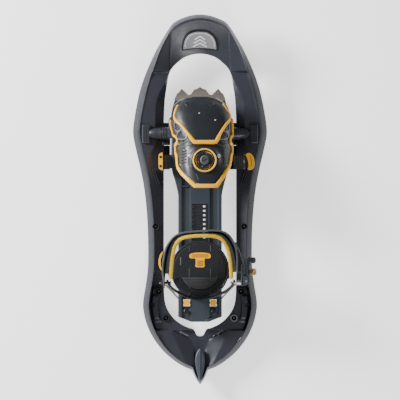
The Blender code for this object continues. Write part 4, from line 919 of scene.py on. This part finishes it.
def make_harness():
    rows = [19 + 1.6 * k for k in range(30)] + [66.0 + 1.5 * k for k in range(65)] + [163.0]
    harness = show("harness", skin_bm(rows, 72, harness_angles, 0.1, SKIN), BLACK, "binding",
                   40.0, ["toe_harness"])
    rounded(harness, 0.7, 3, 50)
    cap_rows = [96 + 1.5 * k for k in range(46)] + [164.6]
    cap = show("cap", skin_bm(cap_rows, 56, cap_angles, CAP_LOW, CAP_LOW + 2.4), BLACK, "binding",
               40.0, ["toe_cap"])
    for k, x in enumerate((-18.5, 18.5)):
        hole = rod_bm(3.4, 60, 110, at(x, 152.0, 0, 0.5), 28)
        cut(cap, hole, "binding")
        seat = boot_top(x, 152.0, CAP_LOW)
        ring = turned_bm([(3.0, 0.2), (4.8, 0.2), (5.0, 1.6), (4.2, 2.6), (3.5, 2.2)],
                         at(x, 151.6, seat, 0.75), 28)
        show(f"cap_eyelet_{k}", ring, BLACK, "binding")
        # A near-black disc paints the shade inside each eyelet's hole.
        hole_shadow = rod_bm(3.3, 0.6, 2.2, at(x, 151.6, seat, 0.75), 28)
        show(f"cap_hole_shadow_{k}", hole_shadow, SHADOW, "binding")
    rounded(cap, 0.8, 3, 50)
    for k, (x, y) in enumerate(((-0.5, 138.0), (25.0, 127.0))):
        stud = turned_bm([(0, 0.0), (1.5, 0.0), (1.5, 0.5), (0.8, 0.9), (0, 1.0)],
                         at(x, y, boot_top(x, y, CAP_LOW + 2.3), 0.35), 16)
        show(f"cap_stud_{k}", stud, STEEL, "binding")

    # the panel under the dial, with a level seat
    bm = bmesh.new()
    grid_low, grid_high = [], []
    ys = [26.0 + 58.0 * k / 40 for k in range(41)]
    for y in ys:
        left, right = blend_rows(PANEL_EDGES, y, 1), blend_rows(PANEL_EDGES, y, 2)
        xs = [left + (right - left) * k / 40 for k in range(41)]
        grid_low.append([bm.verts.new((x, y, boot_top(x, y, CAP_LOW))) for x in xs])
        grid_high.append([bm.verts.new((x, y, panel_top(x, y))) for x in xs])
    close_sheet(bm, grid_low, grid_high)
    rounded(show("panel", bm, BLACK, "binding", 40.0, ["instep_panel"]), 0.6, 3, 50)

    # yellow edgings
    ys = [128 - 1.5 * k for k in range(73)]
    rim = rim_path(edges_of(EDGING), [y for y in ys if y > 19.4], math.radians(76))

    def outer_edging(share):
        knee = abs(share - 0.5) * 2
        return bead(-0.8, 6.0 - 2.2 * smooth_step(knee, 0.62, 0.8), CAP_LOW - 0.6, CAP_LOW + 2.1)

    boot_strip("edging", rim, outer_edging, YELLOW, replaces=["harness_trim"])
    cap_rim = rim_path(cap_angles, [150 - 1.5 * k for k in range(37)], math.radians(80))

    def cap_edging(share):
        foot = 1 - smooth_step(abs(share - 0.5), 0.12, 0.2)
        return bead(-0.6, -6.2 - 1.6 * foot, CAP_LOW, CAP_LOW + 3.7)

    boot_strip("cap_edging", cap_rim, cap_edging, YELLOW, replaces=["toe_cap_trim"])

    # wings: framed windows, short ribs, a seam and stitch-like specks
    windows = [((-40, 122), (-36, 123), (-30.5, 117), (-32, 110), (-38.5, 111)),
               ((-35, 107), (-27, 113), (-20.5, 103), (-24, 97), (-35, 98)),
               ((45, 122), (41, 123), (37.5, 116), (40, 109), (46, 111)),
               ((43, 106), (34, 112), (28.5, 103), (31, 97), (43, 98))]
    for k, corners in enumerate(windows):
        path = plan_path(corners, 8, closed=True)
        path.append(path[0])
        boot_strip(f"window_frame_{k}", path, bead(-0.9, 0.9, SKIN - 0.3, SKIN + 1.2), BADGE)
        centre = sum((Vector(c) for c in corners), Vector((0, 0))) / len(corners)
        inner = plan_path([tuple(centre + (Vector(c) - centre) * 0.62) for c in corners], 8, closed=True)
        inner.append(inner[0])
        boot_strip(f"window_step_{k}", inner, bead(-0.5, 0.5, SKIN - 0.3, SKIN + 0.6), BLACK)
    for k in range(5):
        y = 59.0 + 4.6 * k
        for tag, x0, x1 in (("left", -29.5, -21.5), ("right", 37.0, 44.0)):
            path = plan_path([(x0, y), ((x0 + x1) / 2, y + 0.8), (x1, y + 1.4)], 6)
            boot_strip(f"wing_rib_{tag}_{k}", path, bead(-1.1, 1.1, SKIN - 0.3, SKIN + 1.2), BLACK)
    for k, corners in enumerate((((-35.5, 81.5), (-26, 84.5), (-14, 88.5), (-8, 92)),
                                 ((47.5, 81.5), (39, 84.5), (29, 88.5), (23, 92)),
                                 ((-36, 92), (-28, 90.5), (-20, 93.5)),
                                 ((47.5, 92), (41, 90.5), (33.5, 93.5)),
                                 ((-20, 40), (-12, 32), (-3.5, 26)), ((35, 40), (28.5, 32), (21, 26)))):
        boot_strip(f"seam_{k}", plan_path(corners, 8), bead(-0.7, 0.7, SKIN - 0.3, SKIN + 0.9), GREY_RUBBER)
    for k, (x, y) in enumerate(((-24.5, 79.0), (-33.0, 88.5), (44.5, 88.5), (40.0, 79.0), (-31.0, 56.0),
                                (42.0, 56.0))):
        dot = turned_bm([(0, -0.4), (1.3, -0.4), (1.3, 0.5), (0.7, 0.9), (0, 1.0)],
                        at(x, y, boot_top(x, y, SKIN), 0.1), 16)
        show(f"wing_dot_{k}", dot, STEEL, "binding")
    strip("panel_line",
          [Vector((-6, 42, panel_top(-6, 42) + 0.1)), Vector((-4, 36.5, panel_top(-4, 36.5) + 0.1)),
           Vector((-2, 31, panel_top(-2, 31) + 0.1))], (1.1, 0.9, 0.4), GREY_RUBBER, "binding",
          "black_plastic")


def panel_top(x, y):
    """A flat seat under the dial, faired into the harness around it."""
    away = math.hypot(x - DIAL_X, y - DIAL_Y)
    share = smooth_step(away, 20.0, 26.0)
    seat = DIAL_PAD_Z - (y - DIAL_Y) * math.tan(DIAL_TILT)
    ring = 0.7 * smooth_step(away, 23.0, 24.0) * (1 - smooth_step(away, 26.0, 27.5))
    return seat * (1 - share) + (boot_top(x, y, CAP_LOW) + 1.9) * share + ring


def make_dial():
    """The lock dial: yellow ring, lobed knob with spokes over a yellow disc, and one centre screw."""
    place = at(DIAL_X, DIAL_Y, DIAL_PAD_Z + 0.3, DIAL_TILT)
    ring = [(16.3, 0.1), (19.0, 0.1), (19.2, 2.0), (18.9, 4.6), (18.3, 5.3), (17.3, 5.4), (16.5, 4.8)]
    show("ring", turned_bm(ring, place, 72), CREAM, "binding", 40.0, ["dial_ring"])
    disc = [(3.0, 0.1), (14.8, 0.1), (15.0, 0.8), (14.6, 1.6), (3.0, 1.6)]
    show("disc", turned_bm(disc, place, 64), YELLOW, "dial", 40.0, ["dial_disc"])
    lobes = []
    for a in range(0, 360, 3):
        radius = 13.6 + 0.9 * math.cos(3 * math.radians(a)) + 0.28 * math.cos(24 * math.radians(a))
        lobes.append((radius * math.cos(math.radians(a)), radius * math.sin(math.radians(a))))
    bm = prism_bm(lobes, 2.0, 6.0)
    bm.transform(place)
    knob = show("knob", bm, BLACK, "dial", 40.0, ["dial_knob"])
    for a in (72.0, 192.0, 312.0):
        hole = rod_bm(1.9, 0, 12,
                         place @ Matrix.Translation((11.2 * math.cos(math.radians(a)),
                                                     11.2 * math.sin(math.radians(a)), 0)), 24)
        cut(knob, hole, "dial")
    cut(knob, turned_bm([(7.6, 5.0), (9.4, 5.0), (9.4, 9.0), (7.6, 9.0)], place, 48), "dial")
    rounded(knob, 0.5, 3, 40)
    for k in range(6):
        a = math.radians(12 + 60 * k)
        spoke = [Vector((r * math.cos(a), r * math.sin(a), 6.2)) for r in (9.6, 11.0, 12.6)]
        bm = sweep_bm(spoke, rounded_rectangle(1.2, 1.0, 0.4, 3))
        bm.transform(place)
        show(f"knob_spoke_{k}", bm, BLACK, "dial", 60.0)
    screw = [(0, 0.1), (2.5, 0.1), (2.5, 6.35), (7.0, 6.35), (7.5, 7.4), (6.4, 8.7), (4.8, 9.1), (4.4, 8.2),
             (0, 8.2)]
    show("centre_screw", turned_bm(screw, place, 48), GREY_RUBBER, "dial", 40.0,
         ["dial_screw"])
    bm = block_bm((-3.8, -0.7, 7.6), (3.8, 0.7, 9.0))
    bm.transform(place @ Matrix.Rotation(0.6, 4, "Z"))
    rounded(show("screw_bar", bm, BLACK, "dial"), 0.4)


def make_side_straps():
    """Webbing stubs beside the harness, with a slim tab at the left and a lozenge tab at the right."""
    left = [(-45.6, 61.5, 47.0), (-50.0, 61.5, 49.0), (-54.0, 61.5, 55.0), (-58.0, 61.5, 62.0)]
    right = [(54.2, 61.5, 48.2), (58.0, 61.5, 50.0), (65.0, 61.5, 55.5), (71.5, 61.5, 60.0)]
    for tag, points in (("left", left), ("right", right)):
        path = smooth_path(points, 8)
        show(f"webbing_{tag}", sweep_bm(path, rounded_rectangle(22.0, 2.5, 1.0, 3)), RUBBER, "binding",
             40.0, [f"side_strap_{tag}"])
        for k in range(3, len(path) - 1, 3):
            ahead = (path[k + 1] - path[k - 1]).normalized()
            normal = ahead.cross(Vector((0, 1, 0)))
            if normal.z < 0:
                normal = -normal
            line = [path[k] + normal * 1.5 + Vector((0, y, 0)) for y in (-9.6, 0.0, 9.6)]
            show(f"webbing_{tag}_rib_{k}", sweep_bm(line, rounded_rectangle(1.3, 1.0, 0.4, 3), ahead),
                 GREY_RUBBER,
                 "binding", 60.0)
    slim = [(-59.8, 74.0), (-59.6, 49.2), (-62.0, 48.4), (-65.0, 50.0), (-66.0, 56.0), (-66.0, 68.0),
            (-64.8, 73.4), (-62.0, 74.8)]
    rounded(show("tab_left", prism_bm(smooth_outline(slim, 4),
                                      54.2, 71.8), YELLOW, "binding",
                 replaces=["strap_tab_left"]),
            1.3, 4)
    for k, y in enumerate((54.0, 68.6)):
        # The screw heads are near-black painted shade.
        show(f"tab_screw_left_{k}",
             turned_bm([(0, 71.4), (2.0, 71.4), (2.2, 72.2), (1.4, 72.6), (0.8, 72.2), (0, 72.2)],
                                              at(-62.8, y, 0), 24), SHADOW, "binding")
    lozenge = [(72.8, 73.2), (78.6, 75.2), (84.0, 71.0), (87.0, 61.5), (86.4, 53.4), (82.6, 48.8),
               (76.2, 48.6),
               (77.2, 55.0), (76.4, 62.0), (74.6, 68.0)]
    rounded(show("tab_right", prism_bm(smooth_outline(lozenge, 4),
                                       57.7, 64.3), YELLOW, "binding",
                 replaces=["strap_tab_right"]), 1.3, 4)
    # Painted shade: a darker yellow strip along a step on the tab.
    strip("tab_step_right", smooth_path([(79.6, 70.6, 64.4), (82.4, 62.0, 64.5), (81.8, 53.4, 64.4)], 6),
          (1.4, 0.9, 0.4), SHADED_YELLOW, "binding", "yellow_plastic")
    strip("tab_line_right", [Vector((70.6, 49.5, 58.6)), Vector((70.6, 61.5, 60.8)),
                             Vector((70.6, 73.5, 58.6))], (0.9, 0.9, 0.35), WHITE, "binding", "strap_rubber")


# ---------------------------------------------------------------- heel unit

HEEL_Y, HEEL_R, HEEL_BASE, HEEL_TOP = -111.5, 47.0, 50.35, 58.0
ANCHOR_Y, ANCHOR_Z = -131.5, 97.0
LEVER_Y, LEVER_Z = -104.5, 55.6


def tee_outline(grow, back_grow=0.0):
    """The T of the size lever: a gently arched head with round corners, and its stem."""
    head, stem, back = 17.0 + grow, 7.0 + grow, -107.6 - back_grow
    right = [(4.0, -84.0 + grow), (10.0, -84.5 + grow), (14.2, -85.4 + grow), (head - 0.7, -86.6 + grow),
             (head, -88.4), (head, -91.6 - grow), (head - 0.9, -92.8 - grow), (head - 2.4, -93.2 - grow),
             (stem + 1.6, -93.4 - grow), (stem + 0.4, -94.0 - grow), (stem, -95.4 - grow), (stem, back + 1.4),
             (stem - 0.5, back + 0.4), (stem - 1.6, back)]
    return right + [(-x, y) for x, y in reversed(right)]


def make_heel_plate():
    """Round heel plate: raised middle band between two seams, a rim line, side ears, slots and a T window."""
    profile = [(0.0, HEEL_BASE), (HEEL_R - 1.4, HEEL_BASE), (HEEL_R - 0.3, HEEL_BASE + 0.8),
               (HEEL_R - 0.2, HEEL_TOP - 3.0),
               (HEEL_R - 0.9, HEEL_TOP - 1.6), (HEEL_R - 2.6, HEEL_TOP - 1.2), (HEEL_R - 3.4, HEEL_TOP - 1.9),
               (HEEL_R - 4.6, HEEL_TOP - 1.9), (HEEL_R - 5.4, HEEL_TOP - 0.6), (HEEL_R - 8.0, HEEL_TOP - 0.1),
               (30.0, HEEL_TOP - 0.1), (0.0, HEEL_TOP - 0.1)]
    plate = show("heel_disc", turned_bm(profile, at(0, HEEL_Y, 0), 128), BLACK, "heel_unit",
                 30.0,
                 ["heel_plate"])
    tools = [prism_bm(tee_outline(0.6, 1.2), 45.0, 70.0)]
    for side in (-1, 1):
        seam = [(side * 15.2, -155.0), (side * 16.0, -155.0), (side * 16.0, -70.0), (side * 15.2, -70.0)]
        tools.append(prism_bm(seam, HEEL_TOP - 1.0, 70.0))
        slit = [(side * 34.0, -124.0), (side * 40.0, -125.5), (side * 38.6, -131.5), (side * 33.0, -135.5),
                (side * 31.4, -132.0)]
        tools.append(prism_bm(slit, HEEL_TOP - 2.6, 70.0))
        tools.append(prism_bm([(side * 29.6, -91.0), (side * 32.2, -91.0), (side * 32.2, -104.0),
                               (side * 29.6, -104.0)], HEEL_TOP - 1.6, 70.0))
        for k in range(3):
            y = -101.5 - 6.2 * k
            tools.append(prism_bm([(side * 20.5, y), (side * 26.5, y), (side * 26.5, y - 2.2),
                                   (side * 20.5, y - 2.2)],
                                  HEEL_TOP - 1.2, 70.0))
    for tool in tools:
        cut(plate, tool, "heel_unit")
    shade(plate.data, 30)
    for side, tag in SIDES:
        # The left line is paler badge grey as a painted highlight from the key light on the left; the right one
        # is plain black.
        line = side_block_bm(side, (30.2, -103.6, HEEL_TOP - 1.5), (31.6, -91.4, HEEL_TOP - 0.5))
        rounded(show(f"slot_line_{tag}", line, BADGE if side < 0 else BLACK, "heel_unit"),
                0.3)
        ear = [(side * 43.0, -98.0), (side * 49.4, -100.0), (side * 51.0, -106.0), (side * 51.0, -119.0),
               (side * 48.4, -125.0), (side * 42.0, -127.0)]
        rounded(show(f"heel_ear_{tag}", prism_bm(ear, HEEL_BASE + 0.4, HEEL_TOP - 2.2), BLACK, "heel_unit"), 1.0)
        edge = 35.35
        hook = [(edge, HEEL_TOP - 3), (edge, 33.65), (edge - 3.0, 33.65), (edge - 3.0, 31.2),
                (edge + 2.8, 31.2),
                (edge + 2.8, HEEL_TOP - 3)]
        rings = [[(side * x, y, z) for x, z in hook] for y in (-131.8, -92.2)]
        rounded(show(f"heel_claw_{tag}", loft_bm(rings), BLACK, "heel_unit"), 0.6)
    for side, tag in SIDES:
        for k, (y0, y1) in enumerate(((-152.0, -110.0), (-82.0, -72.5))):
            lip = [Vector((side * 17.0, y,
                           HEEL_TOP - (0.9 if y < -150 else 0.1))) for y in (y0, (y0 + y1) / 2, y1)]
            strip(f"seam_lip_{tag}_{k}", lip, (1.0, 1.0, 0.4), GREY_RUBBER, "heel_unit", "black_plastic")
    arc = [Vector((33.6 * math.cos(math.radians(a)), HEEL_Y - 2 + 33.6 * math.sin(math.radians(a)),
                   HEEL_TOP - 0.2))
           for a in range(202, 339, 4)]
    strip("heel_pad_rim", arc, (1.6, 1.4, 0.6), BLACK, "heel_unit", "black_plastic")
    back = [(31.4 * math.cos(math.radians(a)),
             HEEL_Y + 31.4 * math.sin(math.radians(a))) for a in range(202, 339, 4)]
    pad = show("heel_grip", prism_bm(back, HEEL_TOP + 0.1, HEEL_TOP + 2.3), RUBBER, "heel_unit",
               40.0, ["heel_pad"])
    rounded(pad, 0.8, 3)
    for k in range(6):
        y = -126.5 - 2.9 * k
        half = math.sqrt(max(1.0, 28.6**2 - (y - HEEL_Y) ** 2))
        line = [Vector((x, y, HEEL_TOP + 2.35)) for x in (-half, 0.0, half)]
        strip(f"heel_grip_rib_{k}", line, (1.0, 0.9, 0.35), RUBBER, "heel_unit", "strap_rubber")


def make_size_lever():
    lever = show("tee", prism_bm(tee_outline(0.0), 53.5, 57.6), YELLOW, "size_lever", 40.0,
                 ["size_lever"])
    cut(lever, rod_bm(1.8, -20, 20, along_x(0, LEVER_Y, LEVER_Z), 24), "size_lever")
    rounded(lever, 0.9, 4)
    stem = [(-4.6, -106.0), (-4.6, -96.4), (4.6, -96.4), (4.6, -106.0)]
    # Painted shade: the step on the stem is a darker yellow.
    rounded(show("tee_stem_step", prism_bm(stem, 57.2, 58.1), SHADED_YELLOW, "size_lever"), 0.35)
    # Grip lines in the darker painted-shade yellow.
    for k in range(4):
        line = [Vector((x, -86.8 - 1.5 * k, 57.75)) for x in (-12.6, 0.0, 12.6)]
        strip(f"tee_grip_{k}", line, (0.7, 0.7, 0.3), SHADED_YELLOW, "size_lever", "yellow_plastic")


def make_heel_cup():
    """Curved heel counter with a thick rolled rim and two arms."""
    path = []
    for k in range(97):
        a = math.radians(180 + 180 * k / 96)
        share = abs(math.cos(a))
        x = 1.3 + 41.0 * math.cos(a) + math.copysign(11.5, math.cos(a)) * share**3
        path.append((x, HEEL_Y - 15.0 + 30.0 * math.sin(a), share))
    rings, rim = [], []
    for x, y, share in path:
        outward = Vector((x, y - HEEL_Y)).normalized()
        low = HEEL_TOP + 0.35 + 24.0 * share**2.2
        high = 85.4 + 20.0 * share**2
        lean = 3.5 - 2.0 * share
        ring = []
        for t, side in ((0.0, -1.2), (0.0, 1.2), (0.5, 1.25), (0.93, 1.2), (1.0, 0.6), (1.0, -0.6),
                        (0.93, -1.2),
                        (0.5, -1.25)):
            place = Vector((x, y)) + outward * (side + lean * t)
            ring.append((place.x, place.y, low + (high - low) * t))
        rings.append(ring)
        place = Vector((x, y)) + outward * (lean * 0.72 + 1.1)
        rim.append(Vector((place.x, place.y, low + (high - low) * 0.72)))
    cup = show("heel_counter", loft_bm(rings), BLACK, "heel_unit", 40.0, ["heel_cup"])
    cut(cup, rod_bm(2.5, -70, 70, along_x(0, ANCHOR_Y, ANCHOR_Z), 24), "heel_unit")
    shade(cup.data, 40)
    strip("counter_bead", rim[10:-10], (0.9, 2.6, 0.4), BLACK, "heel_unit", "black_plastic")


# ---------------------------------------------------------------- ankle strap and buckle

STRAP_ROUTE = ((-57.0, -139.0, 97.0), (-57.2, -118.0, 99.0), (-54.6, -95.0, 105.0), (-48.4, -71.0, 113.0),
               (-33.0, -54.0, 119.5), (1.0, -49.5, 122.5), (35.0, -52.5, 119.5), (50.5, -69.0, 113.0),
               (57.0, -93.0, 105.0), (58.6, -112.0, 100.0))
PAD_ROUTE = ((-46.4, -125.0, 99.0), (-45.8, -108.0, 102.0), (-43.6, -88.0, 107.5), (-39.0, -71.0, 114.5),
             (-27.5, -60.0, 120.5), (1.0, -56.2, 123.5), (29.5, -59.0, 120.5), (41.5, -72.0, 114.5),
             (47.0, -90.0, 107.5), (49.2, -108.0, 102.0), (49.8, -125.0, 99.0))


def strap_lean(share):
    """How far the strap's section leans, in radians, at a share of its route."""
    return 0.32 * math.sin(2 * math.pi * share) ** 2


def leaning(section, lean):
    """A section turned so that its top leans outward by lean."""
    return [(a * math.cos(lean) + b * math.sin(lean), b * math.cos(lean) - a * math.sin(lean)) for a,
            b in section]


def puff(piece, held, most=1.1):
    """Inflates a stuffed cover between its stitch lines with a cloth simulation, and keeps the result."""
    group = piece.vertex_groups.new(name="held")
    group.add(held, 1.0, "REPLACE")
    cloth = piece.modifiers.new("cloth", "CLOTH")
    cloth.settings.quality = 6
    cloth.settings.mass = 0.2
    cloth.settings.tension_stiffness = 20
    cloth.settings.compression_stiffness = 20
    cloth.settings.bending_stiffness = 0.5
    cloth.settings.use_pressure = True
    cloth.settings.uniform_pressure_force = 4.0
    cloth.settings.vertex_group_mass = "held"
    cloth.settings.effector_weights.gravity = 0.0
    cloth.point_cache.frame_start, cloth.point_cache.frame_end = 1, 20
    for step in range(1, 21):
        bpy.context.scene.frame_set(step)
    result = piece.evaluated_get(bpy.context.evaluated_depsgraph_get()).to_mesh()
    moves = [b.co - a.co for a, b in zip(piece.data.vertices, result.vertices)]
    for vertex, move in zip(piece.data.vertices, moves):
        vertex.co += move * min(1.0, most * MM / max(1e-9, move.length))
    piece.modifiers.remove(cloth)
    piece.vertex_groups.remove(group)
    bpy.context.scene.frame_set(1)
    finer(piece, 1)


def make_ankle_strap():
    route = smooth_path(STRAP_ROUTE, 10)

    def band(share):
        points = [(1.2, 9.9), (0.7, 11.5), (-0.7, 11.5), (-1.2, 9.9), (-1.2, 9.2), (-0.8, 8.8), (-0.8, -8.8),
                  (-1.2, -9.2), (-1.2, -9.9), (-0.7, -11.5), (0.7, -11.5), (1.2, -9.9), (1.2, -9.2),
                  (0.8, -8.8),
                  (0.8, 8.8), (1.2, 9.2)]
        return leaning(points, -strap_lean(share))

    strap = show("hoop", sweep_bm(route, band), RUBBER, "ankle_strap", 40.0, ["ankle_strap"])
    cut(strap, rod_bm(2.5, -70, -50, along_x(0, ANCHOR_Y, ANCHOR_Z), 24), "ankle_strap")
    shade(strap.data, 40)
    top_edge = [(a, b + 11.4) for a, b in rounded_rectangle(2.8, 1.4, 0.6, 3)]
    show("hoop_edge", sweep_bm(route, lambda share: leaning(top_edge, -strap_lean(share))), GREY_RUBBER,
         "ankle_strap", 60.0)
    mark = [p + Vector((0, 0.0, 11.7)) for p in route if p.x > -9 and p.x < 15]
    strip("hoop_mark", mark, (1.5, 0.5, 0.2), BADGE, "ankle_strap", "strap_rubber")

    # near-black sheet between the band and the padding, painted shade, wider towards the ends
    outer_path, inner_path = smooth_path(STRAP_ROUTE[1:], 10), smooth_path(PAD_ROUTE, 9)
    shadow_path = []
    for k in range(61):
        share = 0.04 + 0.92 * k / 60
        a = outer_path[round(share * (len(outer_path) - 1))]
        b = inner_path[round(share * (len(inner_path) - 1))]
        shadow_path.append(a * 0.55 + b * 0.45)
    for _ in range(4):
        shadow_path = shadow_path[:1] + [(p + 2 * q + r) / 4 for p, q,
                                 r in zip(shadow_path, shadow_path[1:], shadow_path[2:])] + shadow_path[-1:]

    def shadow_section(share):
        wide = 2.2 + 5.4 * abs(2 * share - 1) ** 0.9
        return rounded_rectangle(wide, 17.0, 1.0, 4)

    show("hoop_shadow_sheet", sweep_bm(shadow_path, shadow_section), RUBBER, "ankle_strap", 40.0)

    # the padded liner: a stuffed cover with two rows of stitches, narrow in plan and 21 mm tall
    route = smooth_path(PAD_ROUTE, 12)
    last = len(route) - 1
    length = sum((b - a).length for a, b in zip(route, route[1:]))
    rings = []
    heights = [math.copysign(abs(math.sin(math.pi * k / 20)) ** 0.5, math.sin(math.pi * k / 20)) * 9.9
               for k in range(40)]
    for i, middle in enumerate(route):
        along = (route[min(i + 1, last)] - route[max(i - 1, 0)]).normalized()
        out = along.cross(Vector((0, 0, 1))).normalized()
        up = out.cross(along).normalized()
        share = i / last
        end = smooth_step(min(share, 1 - share), -0.004, 0.02)
        crease = 1 - 0.05 * (0.5 + 0.5 * math.cos(2 * math.pi * share * 22))
        ring = []
        for k in range(40):
            a = 2 * math.pi * k / 40
            c = math.cos(a)
            wide = math.copysign(abs(c) ** 0.62, c) * 3.25 * end * crease
            tall = heights[k] * (0.75 + 0.25 * end)
            pinch = 1 - 0.22 * math.exp(-((abs(tall) - 7.0) / 0.7) ** 2)
            ring.append(middle + out * wide * pinch + up * tall)
        rings.append(ring)
    pad = show("padding", loft_bm(rings), WOVEN, "ankle_strap", 60.0, ["ankle_pad"])
    weave = pad.data.attributes.new("weave", "FLOAT_VECTOR", "POINT")
    for i, item in enumerate(weave.data):
        station, k = divmod(i, 40)
        item.vector = (station / last * length, k * 1.35, 0.0)
    puff(pad, [i for i in range(len(pad.data.vertices)) if abs(abs(heights[i % 40]) - 7.0) < 0.9])
    for row, height in (("upper", 7.0), ("lower", -7.0)):
        for face, offset in (("out", 2.9), ("in", -2.9)):
            bm = bmesh.new()
            for i in range(4, last - 3, 2):
                along = (route[i + 1] - route[i - 1]).normalized()
                out = along.cross(Vector((0, 0, 1))).normalized()
                up = out.cross(along).normalized()
                centre = route[i] + out * offset + up * height
                turn = Matrix((along, up, out)).transposed().to_4x4()
                stitch = Matrix.Translation(centre) @ turn @ Matrix.Diagonal((1.15, 0.38, 0.32, 1))
                bmesh.ops.create_uvsphere(bm, u_segments=8, v_segments=5, radius=1.0, matrix=stitch)
            show(f"stitches_{row}_{face}", bm, CREAM, "ankle_strap", 60.0)

    crescent = [(-59.4, -82.0), (-62.8, -86.0), (-65.6, -95.0), (-65.2, -104.5), (-61.6, -111.5),
                (-60.6, -110.6),
                (-62.2, -104.0), (-62.4, -95.0), (-60.4, -88.0), (-58.8, -84.0)]
    path = smooth_outline(crescent, 5)
    rounded(show("pull_left", prism_bm(path, 95.3, 108.7), YELLOW, "ankle_strap",
                 replaces=["pull_tab_left"]), 0.5, 3)


def make_buckle():
    """Ratchet buckle: base, toothed strap, lever with its grip, and the release tab."""
    z = ANCHOR_Z
    base = block_bm((65.5, -136.8, z - 11.8), (68.3, -102.2, z + 11.8))
    rounded(show("base", base, PLATE, "ankle_strap", replaces=["buckle_base"]), 0.6)
    for k, (low, high) in enumerate(((z - 11.8, z - 9.5), (z + 9.5, z + 11.8))):
        cheek = [(66.2, -135.8), (72.0, -135.8), (76.0, -132.6), (76.8, -127.0), (75.4, -122.4),
                 (71.0, -121.2),
                 (66.2, -121.2)]
        rounded(show(f"base_cheek_{k}", prism_bm(cheek, low, high), PLATE, "ankle_strap"),
                0.6)
    inner_face = [(69.0, -119.0), (69.0, -104.0), (66.6, -95.0), (60.6, -80.0), (54.6, -67.5)]
    outer_face = [(56.6, -66.5), (62.6, -79.0), (68.6, -94.2)]
    outline = inner_face + outer_face
    for k in range(7):
        top = -103.5 - k * 2.2
        outline += [(71.0, top), (72.2, top - 0.5), (71.0, top - 1.5)]
    ladder = prism_bm(outline + [(71.0, -119.0)], z - 7.8, z + 7.8)
    for v in ladder.verts:
        v.co.z += 0.28 * max(0.0, v.co.y + 104.0)
    rounded(show("ladder", ladder, GREY_RUBBER, "ankle_strap", replaces=["ladder_strap"]),
            0.3, 2)
    lever = [(71.0, -133.0), (76.5, -133.5), (79.0, -126.0), (78.4, -108.0), (80.0, -99.0), (80.5, -91.5),
             (76.0, -91.0), (74.2, -97.0), (74.0, -122.0), (70.6, -126.0)]
    path = smooth_outline(lever, 4)
    arm = show("arm", prism_bm(path, z - 8.4, z + 8.4), PLATE, "buckle_lever", 40.0,
               ["buckle_lever"])
    cut(arm, rod_bm(2.0, -20, 20, at(73.5, -129.0, z), 24), "buckle_lever")
    rounded(arm, 0.6)
    for k, (low, high) in enumerate(((z - 8.4, z - 6.3), (z + 6.3, z + 8.4))):
        lug = [(76.2, -117.0), (84.0, -117.0), (86.6, -115.6), (87.4, -114.0), (86.6, -112.4), (84.0, -111.0),
               (76.2, -111.0)]
        lug = show(f"arm_lug_{k}", prism_bm(lug, low, high), PLATE, "buckle_lever")
        cut(lug, rod_bm(1.3, -20, 20, at(85.0, -114.0, z), 20), "buckle_lever")
        rounded(lug, 0.4)
    grip = rounded_rectangle(7.5, 9.3, 3.6, 6)
    rounded(show("grip", prism_bm([(84.75 + a, -95.75 + b) for a, b in grip], z - 8.9, z + 8.9), RUBBER,
                 "buckle_lever", replaces=["lever_grip"]), 1.4, 4)
    for k in range(5):
        height = z - 6.4 + 3.2 * k
        ring = [(84.75 + a * 1.01, -95.75 + b * 1.01, height) for a, b in grip]
        strip(f"grip_rib_{k}", [Vector(p) for p in ring + ring[:1]], (0.5, 0.9, 0.2), GREY_RUBBER,
              "buckle_lever", "strap_rubber", steps=2)
    tab = rounded_rectangle(9.4, 11.0, 2.4, 6)
    tab = show("release", prism_bm([(85.1 + a, -114.1 + b) for a, b in tab], z - 5.4, z + 5.4), YELLOW,
               "release_tab", 40.0, ["release_tab"])
    cut(tab, rod_bm(1.4, -20, 20, at(85.0, -114.0, z), 20), "release_tab")
    rounded(tab, 1.2, 4)


# ---------------------------------------------------------------- pieces kept from the CAD

KEPT = {
    "steel": (BRIGHT_STEEL, ("pivot_axle", "instep_rivet_left", "instep_rivet_right", "buckle_rivet",
                             "heel_lift_bail", "size_lever_pin", "buckle_pin", "release_pin")),
    "dark steel": (STEEL, ("thrust_washer_left", "thrust_washer_right", "crampon_rivet_left",
                           "crampon_rivet_right", "lock_pawl",
                           "spike_front_left", "spike_front_right", "spike_middle_left", "spike_middle_right",
                           "spike_rear_left", "spike_rear_right")),
    # Painted shade: these screws and the rivet take the near-black steel.
    "shadowed": (SHADOW_STEEL, ("bearing_screw_left", "bearing_screw_right", "strap_rivet_left")),
    "claw": (CLAW_STEEL, ("front_crampon",)),
    "rubber": (RUBBER, ("toe_grip_pad",)),
    "black": (BLACK, ("axle_bush_left", "axle_bush_right")),
    "yellow": (YELLOW, ("bail_bearing_left", "bail_bearing_right")),
}


def dress_kept_nodes():
    """Rounds the edges of the CAD nodes that stay, and gives them their materials."""
    for material, names in KEPT.values():
        for name in names:
            node = bpy.data.objects[name]
            node.data.materials.clear()
            node.data.materials.append(material)
            if name != "heel_lift_bail":
                rounded(node, 0.7 if name == "front_crampon" else 0.3, 3, 40)


make_stage()
make_deck()
make_tip_badge()
make_axle_mounts()
make_stud_sockets()
make_tail_fin()
make_boot_plate()
make_harness()
make_dial()
make_side_straps()
make_heel_plate()
make_heel_cup()
make_size_lever()
make_ankle_strap()
make_buckle()
dress_kept_nodes()
